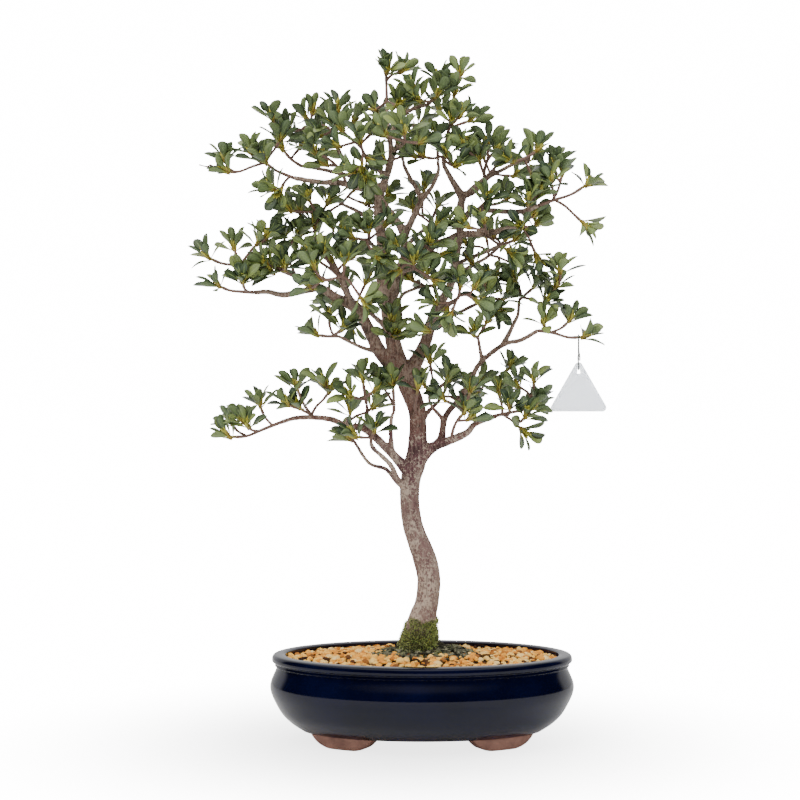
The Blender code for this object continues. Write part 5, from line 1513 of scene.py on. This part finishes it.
class TreeLooks(bpy.types.PropertyGroup):
    leaf_length: bpy.props.FloatProperty(
        name="Leaf length", description="Length of a full grown leaf", default=0.0245, min=0.008, max=0.04,
        unit="LENGTH",
    )
    leaf_dark: colour("Old leaf", "Top of a dark leaf", (0.034, 0.057, 0.024))
    leaf_light: colour("Young leaf", "Top of a light leaf", (0.28, 0.35, 0.095))
    # A cool cast that is partly painted sheen.
    leaf_cool_sheen: colour("Leaf cast and sheen", "Cool cloudiness on a leaf", (0.120, 0.160, 0.140))
    leaf_rib: colour("Leaf rib", "Midrib on a leaf's top", (0.30, 0.40, 0.14))
    leaf_under: colour("Leaf underside", "Paler underside of a leaf", (0.17, 0.24, 0.10))
    leaf_foot: colour("Leaf foot", "Foot of a leaf and its stalk", (0.36, 0.39, 0.060))
    bud_brown: colour("Bud foot", "Ochre foot of the bud scales", (0.30, 0.19, 0.030))
    bud_yellow: colour("Bud", "Buds and the newest wood", (0.54, 0.52, 0.075))
    twig_dark: colour("Twig shade", "Dark bark of a fine twig", (0.100, 0.060, 0.046))
    twig_red: colour("Twig", "Bark of a fine twig", (0.27, 0.160, 0.120))
    bark_grey: colour("Grey bark", "Weathered bark low on the trunk", (0.245, 0.165, 0.135))
    bark_purple: colour("Purple bark", "Smooth young bark under the flakes", (0.105, 0.044, 0.050))
    bark_red: colour("Red bark", "Red brown bark halfway up", (0.19, 0.092, 0.072))
    bark_upper: colour("Upper bark", "Bark of the leaders and limbs", (0.23, 0.150, 0.112))
    bark_pale: colour("Bark flakes", "Pale flakes of old bark", (0.47, 0.37, 0.29))
    bark_dark: colour("Bark shade", "Dark cracks in the bark", (0.030, 0.020, 0.016))
    moss: colour("Moss", "Moss round the trunk's foot", (0.23, 0.32, 0.065))
    moss_dark: colour("Old moss", "Dark and dry moss", (0.018, 0.028, 0.010))
    moss_tip: colour("Moss tip", "Fresh tips of the moss", (0.80, 0.88, 0.34))


class PotLooks(bpy.types.PropertyGroup):
    glaze_dark: colour("Dark glaze", "Glaze where it is thickest", (0.0006, 0.0010, 0.008))
    glaze_blue: colour("Blue glaze", "Glaze where it is thinner", (0.0012, 0.0020, 0.016))
    clay: colour("Clay", "Bare clay of the base and feet", (0.33, 0.170, 0.125))
    clay_dark: colour("Clay shade", "Darker patches of the clay", (0.21, 0.105, 0.080))
    grit: colour("Grit", "Most lumps of the baked clay grit", (1.0, 0.45, 0.060))
    grit_pale: colour("Pale grit", "Pale lumps", (1.0, 0.63, 0.16))
    grit_rust: colour("Rusty grit", "Rust coloured lumps", (0.62, 0.22, 0.035))
    # This brown also paints the shade under each grain and over the lower layer of grit.
    grit_brown_and_shade: colour("Brown grit", "Brown and dark lumps", (0.13, 0.055, 0.02))


class TagLooks(bpy.types.PropertyGroup):
    tag_pale: colour("Pale tag", "Milky plastic", (0.78, 0.87, 0.96))
    tag_lilac: colour("Lilac tag", "Faint lilac cast in the plastic", (0.74, 0.81, 0.95))
    cord_green: colour("Cord", "Dark green thread", (0.020, 0.045, 0.024))
    # Painted shade in the grooves of the twist.
    cord_groove_shade: colour("Cord shade", "Grooves of the thread", (0.006, 0.012, 0.007))


class StageLooks(bpy.types.PropertyGroup):
    floor: colour("Floor", "Plain pale floor", (0.9, 0.9, 0.9))
    key_power: number("Main light", "Large soft lamp to the upper left", 60.0, unit="POWER")
    fill_power: number("Fill light", "Soft lamp to the right", 18.0, unit="POWER")
    back_power: number("Back light", "Soft lamp behind the tree", 18.0, unit="POWER")
    world_light: number("Room light", "Light that comes from all round", 0.8)
    world_seen: number("Room brightness", "Brightness of the empty room in the picture", 16.0)
    world_gloss: number("Room reflection", "Brightness of the room in glossy surfaces", 0.012)
    ceiling_gloss: number("Ceiling reflection", "Brightness of the ceiling in glossy surfaces", 2.0)
    back_gloss: number("Back reflection", "Brightness of the wall behind in glossy surfaces", 0.9)


class DressStage(bpy.types.Operator):
    """Set up the floor, the lights and the camera"""

    bl_idname = "bonsai.stage"
    bl_label = "Stage"

    def execute(self, context):
        build_stage(context.scene.bonsai_stage)
        return {"FINISHED"}


class DressTag(bpy.types.Operator):
    """Hang the blank tag and its cord from a twig"""

    bl_idname = "bonsai.tag"
    bl_label = "Tag and cord"

    def execute(self, context):
        build_tag(context.scene.bonsai_tag)
        return {"FINISHED"}


class DressPot(bpy.types.Operator):
    """Build the glazed bowl and its clay feet"""

    bl_idname = "bonsai.pot"
    bl_label = "Pot"

    def execute(self, context):
        build_pot(context.scene.bonsai_pot)
        return {"FINISHED"}


class DressSoil(bpy.types.Operator):
    """Fill the pot with damp soil and baked clay grit"""

    bl_idname = "bonsai.soil"
    bl_label = "Soil and grit"

    def execute(self, context):
        build_soil(context.scene.bonsai_pot)
        return {"FINISHED"}


class DressScreens(bpy.types.Operator):
    """Finish the plastic mesh over the drainage holes"""

    bl_idname = "bonsai.screens"
    bl_label = "Drain screens"

    def execute(self, context):
        dress_screens()
        return {"FINISHED"}


class DressWood(bpy.types.Operator):
    """Grow the roots, the trunk and the limbs"""

    bl_idname = "bonsai.wood"
    bl_label = "Wood"

    def execute(self, context):
        build_wood(context.scene.bonsai_tree)
        return {"FINISHED"}


class DressFoot(bpy.types.Operator):
    """Lay the old root mat, its fine roots and the moss round the trunk's foot"""

    bl_idname = "bonsai.foot"
    bl_label = "Root mat and moss"

    def execute(self, context):
        build_mound()
        build_moss(context.scene.bonsai_tree)
        return {"FINISHED"}


class DressShoots(bpy.types.Operator):
    """Grow the twigs, the buds and their whorls of leaves"""

    bl_idname = "bonsai.shoots"
    bl_label = "Leafy shoots"

    def execute(self, context):
        build_shoots(context.scene.bonsai_tree)
        return {"FINISHED"}


JOBS = (DressStage, DressTag, DressPot, DressSoil, DressScreens, DressWood, DressFoot, DressShoots)
LOOKS = {
    "bonsai_tree": TreeLooks,
    "bonsai_pot": PotLooks,
    "bonsai_tag": TagLooks,
    "bonsai_stage": StageLooks,
}


class BonsaiPanel(bpy.types.Panel):
    """Lists the pieces of the bonsai"""

    bl_idname = "VIEW3D_PT_bonsai"
    bl_label = "Azalea bonsai"
    bl_space_type = "VIEW_3D"
    bl_region_type = "UI"
    bl_category = "Bonsai"

    def draw(self, context):
        for job in JOBS:
            self.layout.operator(job.bl_idname)
        for name, group in LOOKS.items():
            box = self.layout.box()
            for prop in group.__annotations__:
                box.prop(getattr(context.scene, name), prop)


def register():
    for kind in (*LOOKS.values(), *JOBS, BonsaiPanel):
        bpy.utils.register_class(kind)
    for name, group in LOOKS.items():
        setattr(bpy.types.Scene, name, bpy.props.PointerProperty(type=group))


def unregister():
    for name in LOOKS:
        delattr(bpy.types.Scene, name)
    for kind in (BonsaiPanel, *reversed(JOBS), *reversed(LOOKS.values())):
        bpy.utils.unregister_class(kind)


def main():
    register()
    bpy.ops.bonsai.stage()
    bpy.ops.bonsai.tag()
    bpy.ops.bonsai.pot()
    bpy.ops.bonsai.soil()
    bpy.ops.bonsai.screens()
    bpy.ops.bonsai.wood()
    bpy.ops.bonsai.foot()
    bpy.ops.bonsai.shoots()


if __name__ == "__main__":
    main()
